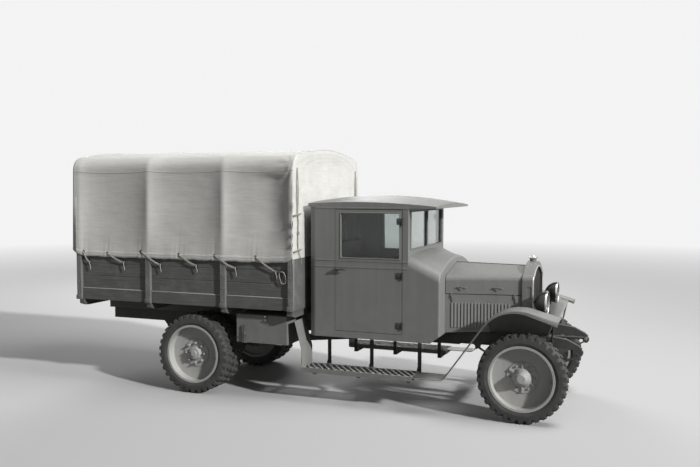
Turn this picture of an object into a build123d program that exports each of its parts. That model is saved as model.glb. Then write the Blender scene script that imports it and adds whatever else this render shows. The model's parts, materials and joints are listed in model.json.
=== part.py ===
from build123d import *
from math import asin, degrees
import os

os.makedirs("parts", exist_ok=True)

# Axes: +X runs forward, -Y is the truck's right side, +Z is up. Millimetres.
# The origin is on the ground, under the middle of the overall box.

# Stations along the truck
wheelbase = 3500
front_axle_x = 2238
rear_axle_x = front_axle_x - wheelbase
cab_back_x = 28
cab_length = 1080
screen_x = cab_back_x + cab_length
cowl_length = 325
cowl_front_x = screen_x + cowl_length
bonnet_length = 745
bonnet_front_x = cowl_front_x + bonnet_length

# Running clearances
seat_gap = 0.3
shaft_clearance = 0.05
panel_gap = 5

# Wheels and tyres
tyre_radius = 428
tyre_half_width = 88
tread_half_width = 62
axle_z = tyre_radius
rim_radius = 300
rim_lip_radius = 316
rim_half_width = 80
rim_wall = 8
disc_recess = 97
disc_wall = 9
front_wheel_y = 703
rear_outer_y = 814
twin_spacing = 200
rear_inner_y = rear_outer_y - twin_spacing
hub_cap_radius = 48
cap_hexagon = 34
cap_height = 16
stud_count = 8
stud_radius = 13

# Steering knuckles
kingpin_y = 600
kingpin_radius = 20
axle_eye_radius = 38
axle_eye_height = 100
knuckle_lug = 26
knuckle_plate = 22
spindle_radius = 32
steering_arm_length = 150
tie_rod_radius = 14
tie_pin_radius = 9

# Frame
frame_half_width = 400
rail_width = 60
rail_wall = 8
frame_bottom_z = 680
frame_depth = 120
frame_top_z = frame_bottom_z + frame_depth
frame_rear_x = -2640
horn_eye_x = 2733
horn_eye_z = 640
horn_eye_radius = 32

# Springs
spring_width = 50
spring_y = frame_half_width - rail_width / 2
front_spring_half_span = horn_eye_x - front_axle_x
front_spring_leaves = 6
rear_spring_half_span = 620
rear_spring_leaves = 8
leaf_thickness = 9

# Cargo bed
bed_front_x = cab_back_x - 62
bed_rear_x = -2740
runner_depth = 90
bearer_depth = 74
floor_thickness = 36
bed_floor_z = frame_top_z + runner_depth + bearer_depth + floor_thickness
board_half_width = 912
board_thickness = 30
board_height = 138
sill_height = 133
sill_thickness = 45
post_depth = 38
post_width = 60
bed_top_z = 1500

# Canvas tilt and its bows
tilt_rear_x = -2778
tilt_wall = 8
tilt_bottom_z = 1455
tilt_slack = 1.5
tilt_half_width = board_half_width + post_depth + tilt_slack + tilt_wall
tilt_shoulder_z = 2410
tilt_side_lean = 24.5
tilt_corner_reach = 145
tilt_shoulder_y = tilt_half_width - tilt_side_lean
tilt_crown_y = tilt_shoulder_y - tilt_corner_reach
tilt_crown_start_z = 2570
tilt_crown_z = 2648
bow_thickness = 30
bow_width = 40

# Cab
cab_half_width = 706
cab_wall = 35
cab_sill_z = 690
cab_corner_radius = 88
cab_top_z = 2030
roof_crown_z = 2140
visor_length = 283
door_rear_x = cab_back_x + 296
door_front_x = screen_x - 60
door_bottom_z = 757
door_header = 20
door_top_z = cab_top_z - door_header
window_bottom_z = 1517
window_rail = 42
window_top_z = door_top_z - window_rail
window_rear_x = door_rear_x + 69
window_front_x = door_front_x - 34
hinge_heights = (848, 1349, 1890)
handle_z = 1395
handle_inset = 24
screen_base_z = 1575
screen_header = 40
screen_top_z = cab_top_z - screen_header
screen_half_width = 640
dash_bottom_z = 1400
glass_thickness = 6
rear_window = (620, 260)
rear_window_z = 1740
moulding_heights = (1420, 1485, cab_top_z - door_header / 2)
moulding_width = 14
moulding_depth = 4

# Bonnet and radiator
cowl_wall = 12
cowl_crown_z = 1510
cowl_shoulder_z = 1400
cowl_corner = 120
cowl_edge_radius = 22
bonnet_rear_half = 500
bonnet_front_half = 370
bonnet_rear_top_z = 1445
bonnet_front_top_z = 1432
bonnet_rear_shoulder_z = 1335
bonnet_front_shoulder_z = 1350
bonnet_split_z = 1167
bonnet_rear_bottom_z = 775
bonnet_front_bottom_z = frame_top_z + 14
bonnet_sheet = 6
bonnet_rod_radius = 6
radiator_depth = 100
radiator_half_width = 392
radiator_bottom_z = 800
radiator_crown_z = 1480
radiator_shoulder_z = 1370
radiator_frame = 50
core_slots = 26
core_slot_width = 6
core_slot_depth = 6
louvre_count = 18
louvre_pitch = 32.4
louvre_front_x = 2069
louvre_length = 22
louvre_rise = 9
louvre_bottom_z = 831
louvre_top_z = 1080

# Fenders and running boards
fender_half_width = 826
fender_inner_y = 590
fender_sheet = 5
fender_lip = 50
board_top_z = 373
running_board_depth = 48
running_board_front_x = 1186
running_board_rear_x = 4
running_board_inner_y = 560


def right_and_left():
    """Add the left-hand twin of what the open part holds."""
    mirror(about=Plane.XZ)


def save(part, name):
    part.label = name
    export_step(part, f"parts/{name}.step")


def wheel_plane(x, y):
    """Plane through a wheel's axis: local X is the radius, local Y runs along +Y."""
    return Plane(origin=(x, y, axle_z), x_dir=(1, 0, 0), z_dir=(0, 0, 1))


def ring(x, y, side, outline):
    """Revolve an outline of (outward offset, radius) points about a wheel's axis."""
    with BuildSketch(wheel_plane(x, y)) as section:
        with BuildLine():
            Polyline(*[(radius, side * outward) for outward, radius in outline], close=True)
        make_face()
    revolve(section.sketch, axis=Axis((x, y, axle_z), (0, 1, 0)))


def rim_outline():
    lip = rim_half_width - rim_wall
    inner = rim_radius - rim_wall
    return [
        (-rim_half_width, rim_lip_radius), (-lip, rim_lip_radius), (-lip, rim_radius),
        (lip, rim_radius), (lip, rim_lip_radius), (rim_half_width, rim_lip_radius),
        (rim_half_width, inner), (-rim_half_width, inner),
    ]


def tyre_outline():
    seat = rim_radius + seat_gap
    bead = rim_half_width - rim_wall - seat_gap
    half = [
        (bead, seat), (bead, rim_lip_radius + 3), (tyre_half_width - 4, rim_lip_radius + 18),
        (tyre_half_width, tyre_radius - 70), (tyre_half_width - 5, tyre_radius - 26),
        (tread_half_width, tyre_radius),
    ]
    return half + [(-outward, radius) for outward, radius in reversed(half)]


# Wheels and tyres: name, axle station, side, wheel centre from the middle
sides = [("right", -1), ("left", 1)]
flange_radius = 152
flange_rise = 7
rib_count = 6

for side_name, side in sides:
    y = side * front_wheel_y
    disc_out = rim_half_width - disc_recess
    disc_in = disc_out - disc_wall
    bore = spindle_radius + shaft_clearance
    spindle_end = rim_half_width - 28
    with BuildPart() as front_wheel:
        ring(front_axle_x, y, side, rim_outline())
        ring(front_axle_x, y, side, [
            (disc_in, bore), (disc_in, rim_radius - rim_wall / 2), (disc_out, rim_radius - rim_wall / 2),
            (disc_out, flange_radius), (disc_out + flange_rise, flange_radius - 2), (disc_out + flange_rise, 98),
            (disc_out + 36, 74), (rim_half_width - 20, 56),
            (rim_half_width - 16, hub_cap_radius), (rim_half_width - 2, hub_cap_radius - 5),
            (rim_half_width, hub_cap_radius - 14), (rim_half_width, 0), (spindle_end, 0), (spindle_end, bore),
        ])
        hub_face = Plane(origin=(front_axle_x, y + side * disc_out, axle_z), x_dir=(1, 0, 0),
                         z_dir=(0, side, 0))
        # Pockets for the studs between six ribs
        with BuildSketch(hub_face.offset(flange_rise)):
            with PolarLocations(118, rib_count):
                Circle(stud_radius)
        extrude(amount=-4, mode=Mode.SUBTRACT)
        with BuildSketch(hub_face.offset(flange_rise - 1)):
            with PolarLocations(104, rib_count, start_angle=180 / rib_count):
                Rectangle(72, 16)
        extrude(amount=14)
    save(front_wheel.part, f"wheel_front_{side_name}")

    with BuildPart() as front_tyre:
        ring(front_axle_x, y, side, tyre_outline())
    save(front_tyre.part, f"tyre_front_{side_name}")

    outer_y = side * rear_outer_y
    inner_y = side * rear_inner_y
    drum_radius = 190
    with BuildPart() as rear_wheel:
        ring(rear_axle_x, outer_y, side, rim_outline())
        ring(rear_axle_x, inner_y, side, rim_outline())
        # Outer disc with hub and cap
        ring(rear_axle_x, outer_y, side, [
            (disc_in, 60), (disc_in, rim_radius - rim_wall / 2), (disc_out, rim_radius - rim_wall / 2),
            (disc_out, 150), (disc_out + 10, 148), (disc_out + 12, 70), (disc_out + 52, 66),
            (disc_out + 58, 58), (disc_out + 58, 0), (disc_in, 0),
        ])
        cap_face = Plane(origin=(rear_axle_x, outer_y + side * (disc_out + 57), axle_z), x_dir=(1, 0, 0),
                         z_dir=(0, side, 0))
        with BuildSketch(cap_face):
            RegularPolygon(cap_hexagon, 6)
        extrude(amount=cap_height)
        # Spacer drum, inner disc and brake drum
        inner_disc = -20
        drum_in = inner_disc - 88
        ring(rear_axle_x, inner_y, side, [
            (inner_disc, bore + 8), (inner_disc, rim_radius - rim_wall / 2),
            (inner_disc + disc_wall, rim_radius - rim_wall / 2), (inner_disc + disc_wall, 150),
            (twin_spacing + disc_in + 1, 150), (twin_spacing + disc_in + 1, 120), (inner_disc + 24, 120),
            (inner_disc + 24, bore + 8),
        ])
        ring(rear_axle_x, inner_y, side, [
            (inner_disc, bore + 8), (inner_disc, drum_radius), (drum_in, drum_radius),
            (drum_in, drum_radius - 14), (inner_disc - 14, drum_radius - 14), (inner_disc - 14, bore + 8),
        ])
        hub_face = Plane(origin=(rear_axle_x, outer_y + side * disc_out, axle_z), x_dir=(1, 0, 0),
                         z_dir=(0, side, 0))
        with BuildSketch(hub_face):
            with PolarLocations(110, stud_count):
                Circle(stud_radius)
        extrude(amount=26)
    save(rear_wheel.part, f"wheel_rear_{side_name}")

    with BuildPart() as rear_tyres:
        ring(rear_axle_x, outer_y, side, tyre_outline())
        ring(rear_axle_x, inner_y, side, tyre_outline())
    save(rear_tyres.part, f"tyres_rear_{side_name}")

# Steering knuckles, one each side, with spindle, kingpin and arm
eye_bottom_z = axle_z - axle_eye_height / 2
eye_top_z = axle_z + axle_eye_height / 2
arm_z = eye_bottom_z - seat_gap - knuckle_lug
for side_name, side in sides:
    pin_y = side * kingpin_y
    plate_y = pin_y + side * (axle_eye_radius + 8)
    plate_out_y = plate_y + side * knuckle_plate
    with BuildPart() as knuckle:
        for lug_z in (arm_z, eye_top_z + seat_gap):
            with BuildSketch(Plane.XY.offset(lug_z)):
                with Locations((front_axle_x, pin_y)):
                    Circle(36)
                with Locations((front_axle_x, (pin_y + plate_out_y) / 2)):
                    Rectangle(72, abs(plate_out_y - pin_y))
            extrude(amount=knuckle_lug)
        with BuildSketch(Plane.XY.offset(arm_z)):
            with Locations((front_axle_x, (plate_y + plate_out_y) / 2)):
                Rectangle(72, knuckle_plate)
        extrude(amount=axle_eye_height + 2 * (knuckle_lug + seat_gap))
        with BuildSketch(Plane.XY.offset(arm_z)):
            with Locations((front_axle_x, pin_y)):
                Circle(kingpin_radius)
        extrude(amount=axle_eye_height + 2 * (knuckle_lug + seat_gap))
        with BuildSketch(Plane(origin=(front_axle_x, plate_out_y, axle_z), x_dir=(1, 0, 0), z_dir=(0, side, 0))):
            Circle(spindle_radius)
        extrude(amount=front_wheel_y + rim_half_width - 30 - abs(plate_out_y))
        # Arm back to the tie rod, and the pin it turns on
        with BuildSketch(Plane.XY.offset(arm_z)):
            with Locations((front_axle_x - steering_arm_length / 2, pin_y)):
                Rectangle(steering_arm_length, 32)
            with Locations((front_axle_x - steering_arm_length, pin_y)):
                Circle(20)
        extrude(amount=16)
        with BuildSketch(Plane.XY.offset(arm_z)):
            with Locations((front_axle_x - steering_arm_length, pin_y)):
                Circle(tie_pin_radius)
        extrude(amount=-38)
    save(knuckle.part, f"knuckle_{side_name}")

tie_z = arm_z - 20
with BuildPart() as tie_rod:
    with BuildSketch(Plane(origin=(front_axle_x - steering_arm_length, 0, tie_z), x_dir=(1, 0, 0),
                           z_dir=(0, 1, 0))):
        Circle(tie_rod_radius)
    extrude(amount=kingpin_y - 15, both=True)
    with BuildSketch(Plane.XY.offset(tie_z - 17)):
        with Locations((front_axle_x - steering_arm_length, -kingpin_y),
                       (front_axle_x - steering_arm_length, kingpin_y)):
            Circle(22)
    extrude(amount=34)
    with BuildSketch(Plane.XY.offset(tie_z - 30)):
        with Locations((front_axle_x - steering_arm_length, -kingpin_y),
                       (front_axle_x - steering_arm_length, kingpin_y)):
            Circle(tie_pin_radius + shaft_clearance)
    extrude(amount=60, mode=Mode.SUBTRACT)
save(tie_rod.part, "tie_rod")

# Front axle beam with its kingpin eyes and spring pads
beam_top_z = axle_z + 2
with BuildPart() as front_axle:
    with BuildSketch(Plane.YZ.offset(front_axle_x - 24)):
        with BuildLine():
            Polyline((-kingpin_y, axle_z - 32), (-kingpin_y + 90, axle_z - 62), (kingpin_y - 90, axle_z - 62),
                     (kingpin_y, axle_z - 32), (kingpin_y, axle_z + 26), (kingpin_y - 70, beam_top_z),
                     (-kingpin_y + 70, beam_top_z), (-kingpin_y, axle_z + 26), close=True)
        make_face()
    extrude(amount=48)
    with BuildSketch(Plane.XY.offset(eye_bottom_z)):
        with Locations((front_axle_x, -kingpin_y), (front_axle_x, kingpin_y)):
            Circle(axle_eye_radius)
    extrude(amount=axle_eye_height)
    with BuildSketch(Plane.XY.offset(eye_bottom_z - 10)):
        with Locations((front_axle_x, -kingpin_y), (front_axle_x, kingpin_y)):
            Circle(kingpin_radius + shaft_clearance)
    extrude(amount=axle_eye_height + 20, mode=Mode.SUBTRACT)
save(front_axle.part, "front_axle")

# Rear axle: differential housing with pinion nose, tapered arms, spring pads and stub ends
gearbox_front_x = cowl_front_x + 60
gearbox_rear_x = gearbox_front_x - 620
shaft_front = Vector(gearbox_rear_x, 0, 640)
axle_centre = Vector(rear_axle_x, 0, axle_z)
shaft_dir = (shaft_front - axle_centre).normalized()
pinion_reach = 260
stub_end_y = rear_outer_y + disc_in - 4
rear_pad_z = axle_z + 66
with BuildPart() as rear_axle:
    with BuildSketch(wheel_plane(rear_axle_x, 0)):
        with BuildLine():
            Polyline((0, -stub_end_y), (spindle_radius + 8, -stub_end_y),
                     (spindle_radius + 8, -rear_inner_y + 110), (62, -rear_inner_y + 112),
                     (66, -spring_y + 40), (92, -180), (150, -90), (165, 0))
            Polyline((165, 0), (150, 90), (92, 180), (66, spring_y - 40), (62, rear_inner_y - 112),
                     (spindle_radius + 8, rear_inner_y - 110), (spindle_radius + 8, stub_end_y),
                     (0, stub_end_y), (0, -stub_end_y))
        make_face()
    revolve(axis=Axis((rear_axle_x, 0, axle_z), (0, 1, 0)))
    with BuildSketch(Plane(origin=axle_centre, z_dir=shaft_dir)):
        Circle(58)
    extrude(amount=pinion_reach)
    with BuildSketch(Plane.XY.offset(axle_z)):
        with Locations((rear_axle_x, -spring_y), (rear_axle_x, spring_y)):
            Rectangle(110, spring_width + 12)
    extrude(amount=rear_pad_z - axle_z)
save(rear_axle.part, "rear_axle")


def leaf_pack(centre_x, y, bottom_z, half_span, rise, leaves):
    """A stack of leaves with its ends up, and a rolled eye at each end."""
    pack = leaves * leaf_thickness
    top_z = bottom_z + pack
    radius = (half_span ** 2 + rise ** 2) / (2 * rise)
    centre_z = top_z - leaf_thickness / 2 + radius
    with BuildSketch(Plane.XZ.offset(-y - spring_width / 2)) as pack_section:
        for leaf in range(leaves):
            inner = radius - leaf_thickness / 2 + leaf * leaf_thickness
            reach = half_span * (1 - 0.82 * leaf / leaves)
            swing = degrees(asin(reach / radius))
            with BuildLine():
                low = CenterArc((centre_x, centre_z), inner, 270 - swing, 2 * swing)
                high = CenterArc((centre_x, centre_z), inner + leaf_thickness, 270 - swing, 2 * swing)
                Line(low @ 0, high @ 0)
                Line(low @ 1, high @ 1)
            make_face()
    extrude(pack_section.sketch, amount=spring_width)
    eye_z = top_z - leaf_thickness / 2 + rise
    with BuildSketch(Plane.XZ.offset(-y - spring_width / 2)) as eyes:
        with Locations((centre_x - half_span, eye_z + 12), (centre_x + half_span, eye_z + 12)):
            Circle(20)
    extrude(eyes.sketch, amount=spring_width)


front_spring_rise = horn_eye_z - 12 - (beam_top_z + front_spring_leaves * leaf_thickness - leaf_thickness / 2)
rear_spring_rise = 60
with BuildPart() as leaf_springs:
    for side in (-1, 1):
        leaf_pack(front_axle_x, side * spring_y, beam_top_z, front_spring_half_span, front_spring_rise,
                  front_spring_leaves)
        leaf_pack(rear_axle_x, side * spring_y, rear_pad_z, rear_spring_half_span, rear_spring_rise,
                  rear_spring_leaves)
save(leaf_springs.part, "leaf_springs")

# Frame: two channel rails with dropped horns, and cross members
with BuildPart() as chassis_frame:
    with BuildSketch(Plane.XZ.offset(frame_half_width - rail_width)):
        with BuildLine():
            Polyline((frame_rear_x, frame_bottom_z), (front_axle_x + 160, frame_bottom_z),
                     (horn_eye_x - 120, frame_bottom_z - 2), (horn_eye_x - 30, horn_eye_z + 20),
                     (horn_eye_x, horn_eye_z), (horn_eye_x + 22, horn_eye_z + 40),
                     (horn_eye_x - 10, horn_eye_z + 68), (horn_eye_x - 118, horn_eye_z + 122),
                     (horn_eye_x - 294, horn_eye_z + 148), (front_axle_x + 130, frame_top_z),
                     (frame_rear_x, frame_top_z), close=True)
        make_face()
    extrude(amount=rail_width)
    with BuildSketch(Plane.XZ.offset(frame_half_width - rail_width - 1)):
        with BuildLine():
            Polyline((frame_rear_x - 1, frame_bottom_z + rail_wall),
                     (front_axle_x + 155, frame_bottom_z + rail_wall),
                     (front_axle_x + 125, frame_top_z - rail_wall), (frame_rear_x - 1, frame_top_z - rail_wall),
                     close=True)
        make_face()
    extrude(amount=rail_width - rail_wall + 1, mode=Mode.SUBTRACT)
    with BuildSketch(Plane.XZ.offset(frame_half_width - rail_width)):
        with Locations((horn_eye_x, horn_eye_z)):
            Circle(horn_eye_radius)
    extrude(amount=rail_width)
    # Fork for the spring's eye
    with BuildSketch(Plane.XZ.offset(spring_y - spring_width / 2 - seat_gap)):
        with Locations((horn_eye_x - 20, horn_eye_z - 20)):
            Rectangle(82, 82)
    extrude(amount=spring_width + 2 * seat_gap, mode=Mode.SUBTRACT)
    right_and_left()
    # Cross members: station along X
    for member_x in (frame_rear_x + 40, rear_axle_x - 560, rear_axle_x + 560, 250, 820, 2290):
        with BuildSketch(Plane.XZ.offset(-frame_half_width + rail_wall)):
            with Locations((member_x, frame_bottom_z + frame_depth / 2)):
                Rectangle(60, frame_depth - 2 * rail_wall)
                Rectangle(44, frame_depth - 4 * rail_wall, mode=Mode.SUBTRACT)
        extrude(amount=2 * (frame_half_width - rail_wall))
save(chassis_frame.part, "chassis_frame")

# Towing jaw on the rear cross member, with an upright pin hole through both ears
jaw_half_width = 45
jaw_hole_radius = 18
jaw_rear_x = frame_rear_x - 95
jaw_ear = 20
jaw_gap = 50
jaw_z = frame_bottom_z + frame_depth / 2
with BuildPart() as tow_jaw:
    with BuildSketch(Plane.XY.offset(jaw_z - jaw_gap / 2 - jaw_ear)):
        with Locations(((jaw_rear_x + jaw_half_width + frame_rear_x + 10) / 2, 0)):
            Rectangle(frame_rear_x + 10 - jaw_rear_x - jaw_half_width, 2 * jaw_half_width)
        with Locations((jaw_rear_x + jaw_half_width, 0)):
            Circle(jaw_half_width)
    extrude(amount=jaw_gap + 2 * jaw_ear)
    with BuildSketch(Plane.XY.offset(jaw_z - jaw_gap / 2)):
        with Locations((jaw_rear_x + jaw_half_width, 0)):
            Rectangle(2 * jaw_half_width + 10, 2 * jaw_half_width + 10)
    extrude(amount=jaw_gap, mode=Mode.SUBTRACT)
    with BuildSketch(Plane.XY.offset(jaw_z - jaw_gap / 2 - jaw_ear)):
        with Locations((jaw_rear_x + jaw_half_width, 0)):
            Circle(jaw_hole_radius)
    extrude(amount=jaw_gap + 2 * jaw_ear, mode=Mode.SUBTRACT)
save(tow_jaw.part, "tow_jaw")

# Spring hangers and shackles, between the rails' undersides and the spring eyes
front_eye_z = beam_top_z + front_spring_leaves * leaf_thickness - leaf_thickness / 2 + front_spring_rise + 12
rear_eye_z = rear_pad_z + rear_spring_leaves * leaf_thickness - leaf_thickness / 2 + rear_spring_rise + 12
hanger_table = [
    # x of the eye, z of the eye
    (front_axle_x - front_spring_half_span, front_eye_z),
    (rear_axle_x - rear_spring_half_span, rear_eye_z),
    (rear_axle_x + rear_spring_half_span, rear_eye_z),
]
with BuildPart() as spring_hangers:
    for eye_x, eye_z in hanger_table:
        for side in (-1, 1):
            for cheek in (-1, 1):
                cheek_y = side * spring_y + cheek * (spring_width / 2 + seat_gap)
                with BuildSketch(Plane(origin=(eye_x, cheek_y, 0), x_dir=(1, 0, 0), z_dir=(0, -1, 0))):
                    with BuildLine():
                        Polyline((-60, frame_bottom_z), (60, frame_bottom_z), (22, eye_z), (22, eye_z - 22),
                                 (-22, eye_z - 22), (-22, eye_z), close=True)
                    make_face()
                extrude(amount=-cheek * 6)
            with BuildSketch(Plane.XY.offset(frame_bottom_z)):
                with Locations((eye_x, side * spring_y)):
                    Rectangle(120, spring_width + 2 * seat_gap + 12)
            extrude(amount=-5)
save(spring_hangers.part, "spring_hangers")

# Bed runners on the rails, and the bearers across them
bearer_z = frame_top_z + runner_depth
tail_axis_x = bed_rear_x - 8
tail_hinge_radius = 10
tail_axis_z = bearer_z + bearer_depth + seat_gap + tail_hinge_radius
tail_hinges = (-600, 0, 600)
tail_hinge_width = 80
tail_ear = 8
tail_carrier = 18
post_stations = (bed_rear_x + 35, bed_rear_x + 957, bed_rear_x + 1890, bed_front_x - post_width / 2)
with BuildPart() as bed_bearers:
    for side in (-1, 1):
        with BuildSketch(Plane.XY.offset(frame_top_z)):
            with Locations(((bed_front_x + post_stations[0]) / 2, side * spring_y)):
                Rectangle(bed_front_x - post_stations[0], 70)
        extrude(amount=runner_depth)
    bearer_half = board_half_width + 18
    for bearer_x in (post_stations[0] + 20, post_stations[1], post_stations[2], post_stations[3] - 20):
        with BuildSketch(Plane.YZ.offset(bearer_x - 30)):
            with BuildLine():
                Polyline((-bearer_half, bearer_z + bearer_depth), (-bearer_half, bearer_z + 24),
                         (-bearer_half + 70, bearer_z), (bearer_half - 70, bearer_z),
                         (bearer_half, bearer_z + 24), (bearer_half, bearer_z + bearer_depth), close=True)
            make_face()
        extrude(amount=60)
    # Carriers for the tailgate's hinges, with an ear at each end of every barrel
    ear_x = (tail_axis_x + post_stations[0]) / 2
    for hinge_y in tail_hinges:
        carrier_y = hinge_y + tail_hinge_width / 2 + seat_gap + tail_ear
        with BuildSketch(Plane.XZ.offset(-carrier_y)):
            with Locations((ear_x + tail_hinge_radius / 2, bearer_z + bearer_depth - tail_carrier / 2)):
                Rectangle(post_stations[0] - tail_axis_x - tail_hinge_radius, tail_carrier)
        extrude(amount=tail_hinge_width + 2 * (seat_gap + tail_ear))
        for ear_y in (carrier_y, hinge_y - tail_hinge_width / 2 - seat_gap):
            with BuildSketch(Plane.XZ.offset(-ear_y)):
                with Locations((tail_axis_x, tail_axis_z)):
                    Circle(tail_hinge_radius - 1)
                with Locations((tail_axis_x, (tail_axis_z + bearer_z + bearer_depth - tail_carrier) / 2)):
                    Rectangle(tail_ear, tail_axis_z - bearer_z - bearer_depth + tail_carrier)
                with Locations((ear_x, bearer_z + bearer_depth - tail_carrier / 2)):
                    Rectangle(post_stations[0] - tail_axis_x, tail_carrier)
            extrude(amount=tail_ear)
save(bed_bearers.part, "bed_bearers")

floor_front_x = bed_front_x - board_thickness
floor_rear_x = bed_rear_x + 40
with BuildPart() as bed_floor:
    with BuildSketch(Plane.XY.offset(bed_floor_z - floor_thickness)):
        with Locations(((floor_front_x + floor_rear_x) / 2, 0)):
            Rectangle(floor_front_x - floor_rear_x, 2 * (board_half_width - sill_thickness))
    extrude(amount=floor_thickness)
save(bed_floor.part, "bed_floor")

# Side boards: a sill and three planks with a groove at each joint
side_bottom_z = bed_floor_z - floor_thickness
groove = 5
with BuildPart() as bed_sides:
    inner_y = board_half_width - board_thickness
    plank_z = [side_bottom_z + sill_height + plank * board_height for plank in range(3)]
    with BuildSketch(Plane.YZ.offset(bed_rear_x)):
        with BuildLine():
            outline = [(-(board_half_width - sill_thickness), side_bottom_z),
                       (-board_half_width - 10, side_bottom_z),
                       (-board_half_width - 10, plank_z[0] - 8), (-board_half_width, plank_z[0])]
            for joint_z in plank_z[1:]:
                outline += [(-board_half_width, joint_z - groove), (-board_half_width + groove, joint_z),
                            (-board_half_width, joint_z + groove)]
            outline += [(-board_half_width, bed_top_z), (-inner_y, bed_top_z), (-inner_y, plank_z[0]),
                        (-(board_half_width - sill_thickness), plank_z[0])]
            Polyline(*outline, close=True)
        make_face()
    extrude(amount=bed_front_x - bed_rear_x)
    right_and_left()
save(bed_sides.part, "bed_sides")

# Stake posts outside the boards, standing on the bearers' ends
with BuildPart() as bed_posts:
    for post_x in post_stations:
        with BuildSketch(Plane.XY.offset(side_bottom_z)):
            with Locations((post_x, -(board_half_width + 10 + (post_depth - 10) / 2))):
                Rectangle(post_width, post_depth - 10)
        extrude(amount=bed_top_z - side_bottom_z)
        with BuildSketch(Plane.XY.offset(plank_z[0])):
            with Locations((post_x, -(board_half_width + 5))):
                Rectangle(post_width, 10)
        extrude(amount=bed_top_z - plank_z[0])
    right_and_left()
save(bed_posts.part, "bed_posts")

with BuildPart() as headboard:
    with BuildSketch(Plane.XY.offset(side_bottom_z)):
        with Locations((bed_front_x - board_thickness / 2, 0)):
            Rectangle(board_thickness, 2 * (board_half_width - sill_thickness))
    extrude(amount=bed_top_z - side_bottom_z)
    with BuildSketch(Plane.XY.offset(plank_z[0])):
        with Locations((bed_front_x - board_thickness / 2, 0)):
            Rectangle(board_thickness, 2 * inner_y)
    extrude(amount=bed_top_z - plank_z[0])
save(headboard.part, "headboard")

tail_x = bed_rear_x + 17
tail_half = board_half_width - sill_thickness - panel_gap
with BuildPart() as tailgate:
    with BuildSketch(Plane.XY.offset(side_bottom_z + 10)):
        with Locations((tail_x, 0)):
            Rectangle(30, 2 * tail_half)
    extrude(amount=bed_top_z - side_bottom_z - 15)
    for hinge_y in tail_hinges:
        with BuildSketch(Plane.XZ.offset(-hinge_y - tail_hinge_width / 2)):
            with Locations((tail_axis_x, tail_axis_z)):
                Circle(tail_hinge_radius)
            with Locations((tail_axis_x + 5, tail_axis_z + 12)):
                Rectangle(12, 24)
        extrude(amount=tail_hinge_width)
save(tailgate.part, "tailgate")


def tilt_section(x, inset):
    """Section of the tilt at one station, drawn in from the outer skin by inset."""
    foot = tilt_half_width - inset
    shoulder = tilt_shoulder_y - inset
    crown = tilt_crown_y - inset / 2
    lean = (foot - shoulder) / (tilt_shoulder_z - tilt_bottom_z)
    with BuildSketch(Plane.YZ.offset(x)) as section:
        with BuildLine():
            Line((-foot, tilt_bottom_z), (-shoulder, tilt_shoulder_z))
            TangentArc((-shoulder, tilt_shoulder_z), (-crown, tilt_crown_start_z - inset), tangent=(lean, 1))
            ThreePointArc((-crown, tilt_crown_start_z - inset), (0, tilt_crown_z - inset),
                          (crown, tilt_crown_start_z - inset))
            TangentArc((shoulder, tilt_shoulder_z), (crown, tilt_crown_start_z - inset), tangent=(-lean, 1))
            Line((foot, tilt_bottom_z), (shoulder, tilt_shoulder_z))
            Line((-foot, tilt_bottom_z), (foot, tilt_bottom_z))
        make_face()
    return section.sketch


with BuildPart() as canopy:
    extrude(tilt_section(tilt_rear_x, 0), amount=bed_front_x - tilt_rear_x)
    extrude(tilt_section(tilt_rear_x, tilt_wall), amount=bed_front_x - tilt_rear_x - tilt_wall,
            mode=Mode.SUBTRACT)
    # The front wall stops at the headboard's top
    with BuildSketch(Plane.YZ.offset(bed_front_x - tilt_wall)):
        with Locations((0, (tilt_bottom_z + bed_top_z + seat_gap) / 2 - 10)):
            Rectangle(2 * (tilt_half_width - tilt_wall), bed_top_z + seat_gap - tilt_bottom_z + 20)
    extrude(amount=tilt_wall, mode=Mode.SUBTRACT)
save(canopy.part, "canopy")

with BuildPart() as canopy_bows:
    for post_x in (post_stations[0], post_stations[1], post_stations[2], post_stations[3] - 4):
        extrude(tilt_section(post_x - bow_width / 2, tilt_wall + seat_gap), amount=bow_width)
        extrude(tilt_section(post_x - bow_width / 2, tilt_wall + seat_gap + bow_thickness), amount=bow_width,
                mode=Mode.SUBTRACT)
    with BuildSketch(Plane.XY.offset(tilt_bottom_z - 5)):
        with Locations(((tilt_rear_x + bed_front_x) / 2, 0)):
            Rectangle(bed_front_x - tilt_rear_x + 100, 2 * tilt_half_width + 100)
    extrude(amount=bed_top_z - tilt_bottom_z + 5, mode=Mode.SUBTRACT)
save(canopy_bows.part, "canopy_bows")

# Steering column's line, from the box on the frame to the wheel
driver_y = 305
steering_wheel_x = 770
steering_wheel_z = 1400
steering_box_x = 1400
steering_box_z = 745
wheel_centre = Vector(steering_wheel_x, -driver_y, steering_wheel_z)
column_foot = Vector(steering_box_x, -driver_y, steering_box_z)
column_dir = (wheel_centre - column_foot).normalized()
column_radius = 22
hub_depth = 38
column_length = (wheel_centre - column_foot).length - hub_depth - seat_gap

# Cab floor on the rails
cab_inner_y = cab_half_width - cab_wall
floor_sheet = 25
with BuildPart() as cab_floor:
    cab_floor_front_x = cowl_front_x - cowl_wall
    with BuildSketch(Plane.XY.offset(frame_top_z)) as floor_outline:
        with Locations(((cab_back_x + cab_wall + cab_floor_front_x) / 2, 0)):
            Rectangle(cab_floor_front_x - cab_back_x - cab_wall, 2 * cab_inner_y)
        fillet(floor_outline.vertices().group_by(Axis.X)[0], radius=cab_corner_radius - cab_wall)
    extrude(amount=floor_sheet)
    # Hole for the steering column
    with BuildSketch(Plane(origin=column_foot, z_dir=column_dir)):
        Circle(column_radius + 4)
    extrude(amount=column_length, mode=Mode.SUBTRACT)
save(cab_floor.part, "cab_floor")

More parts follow.
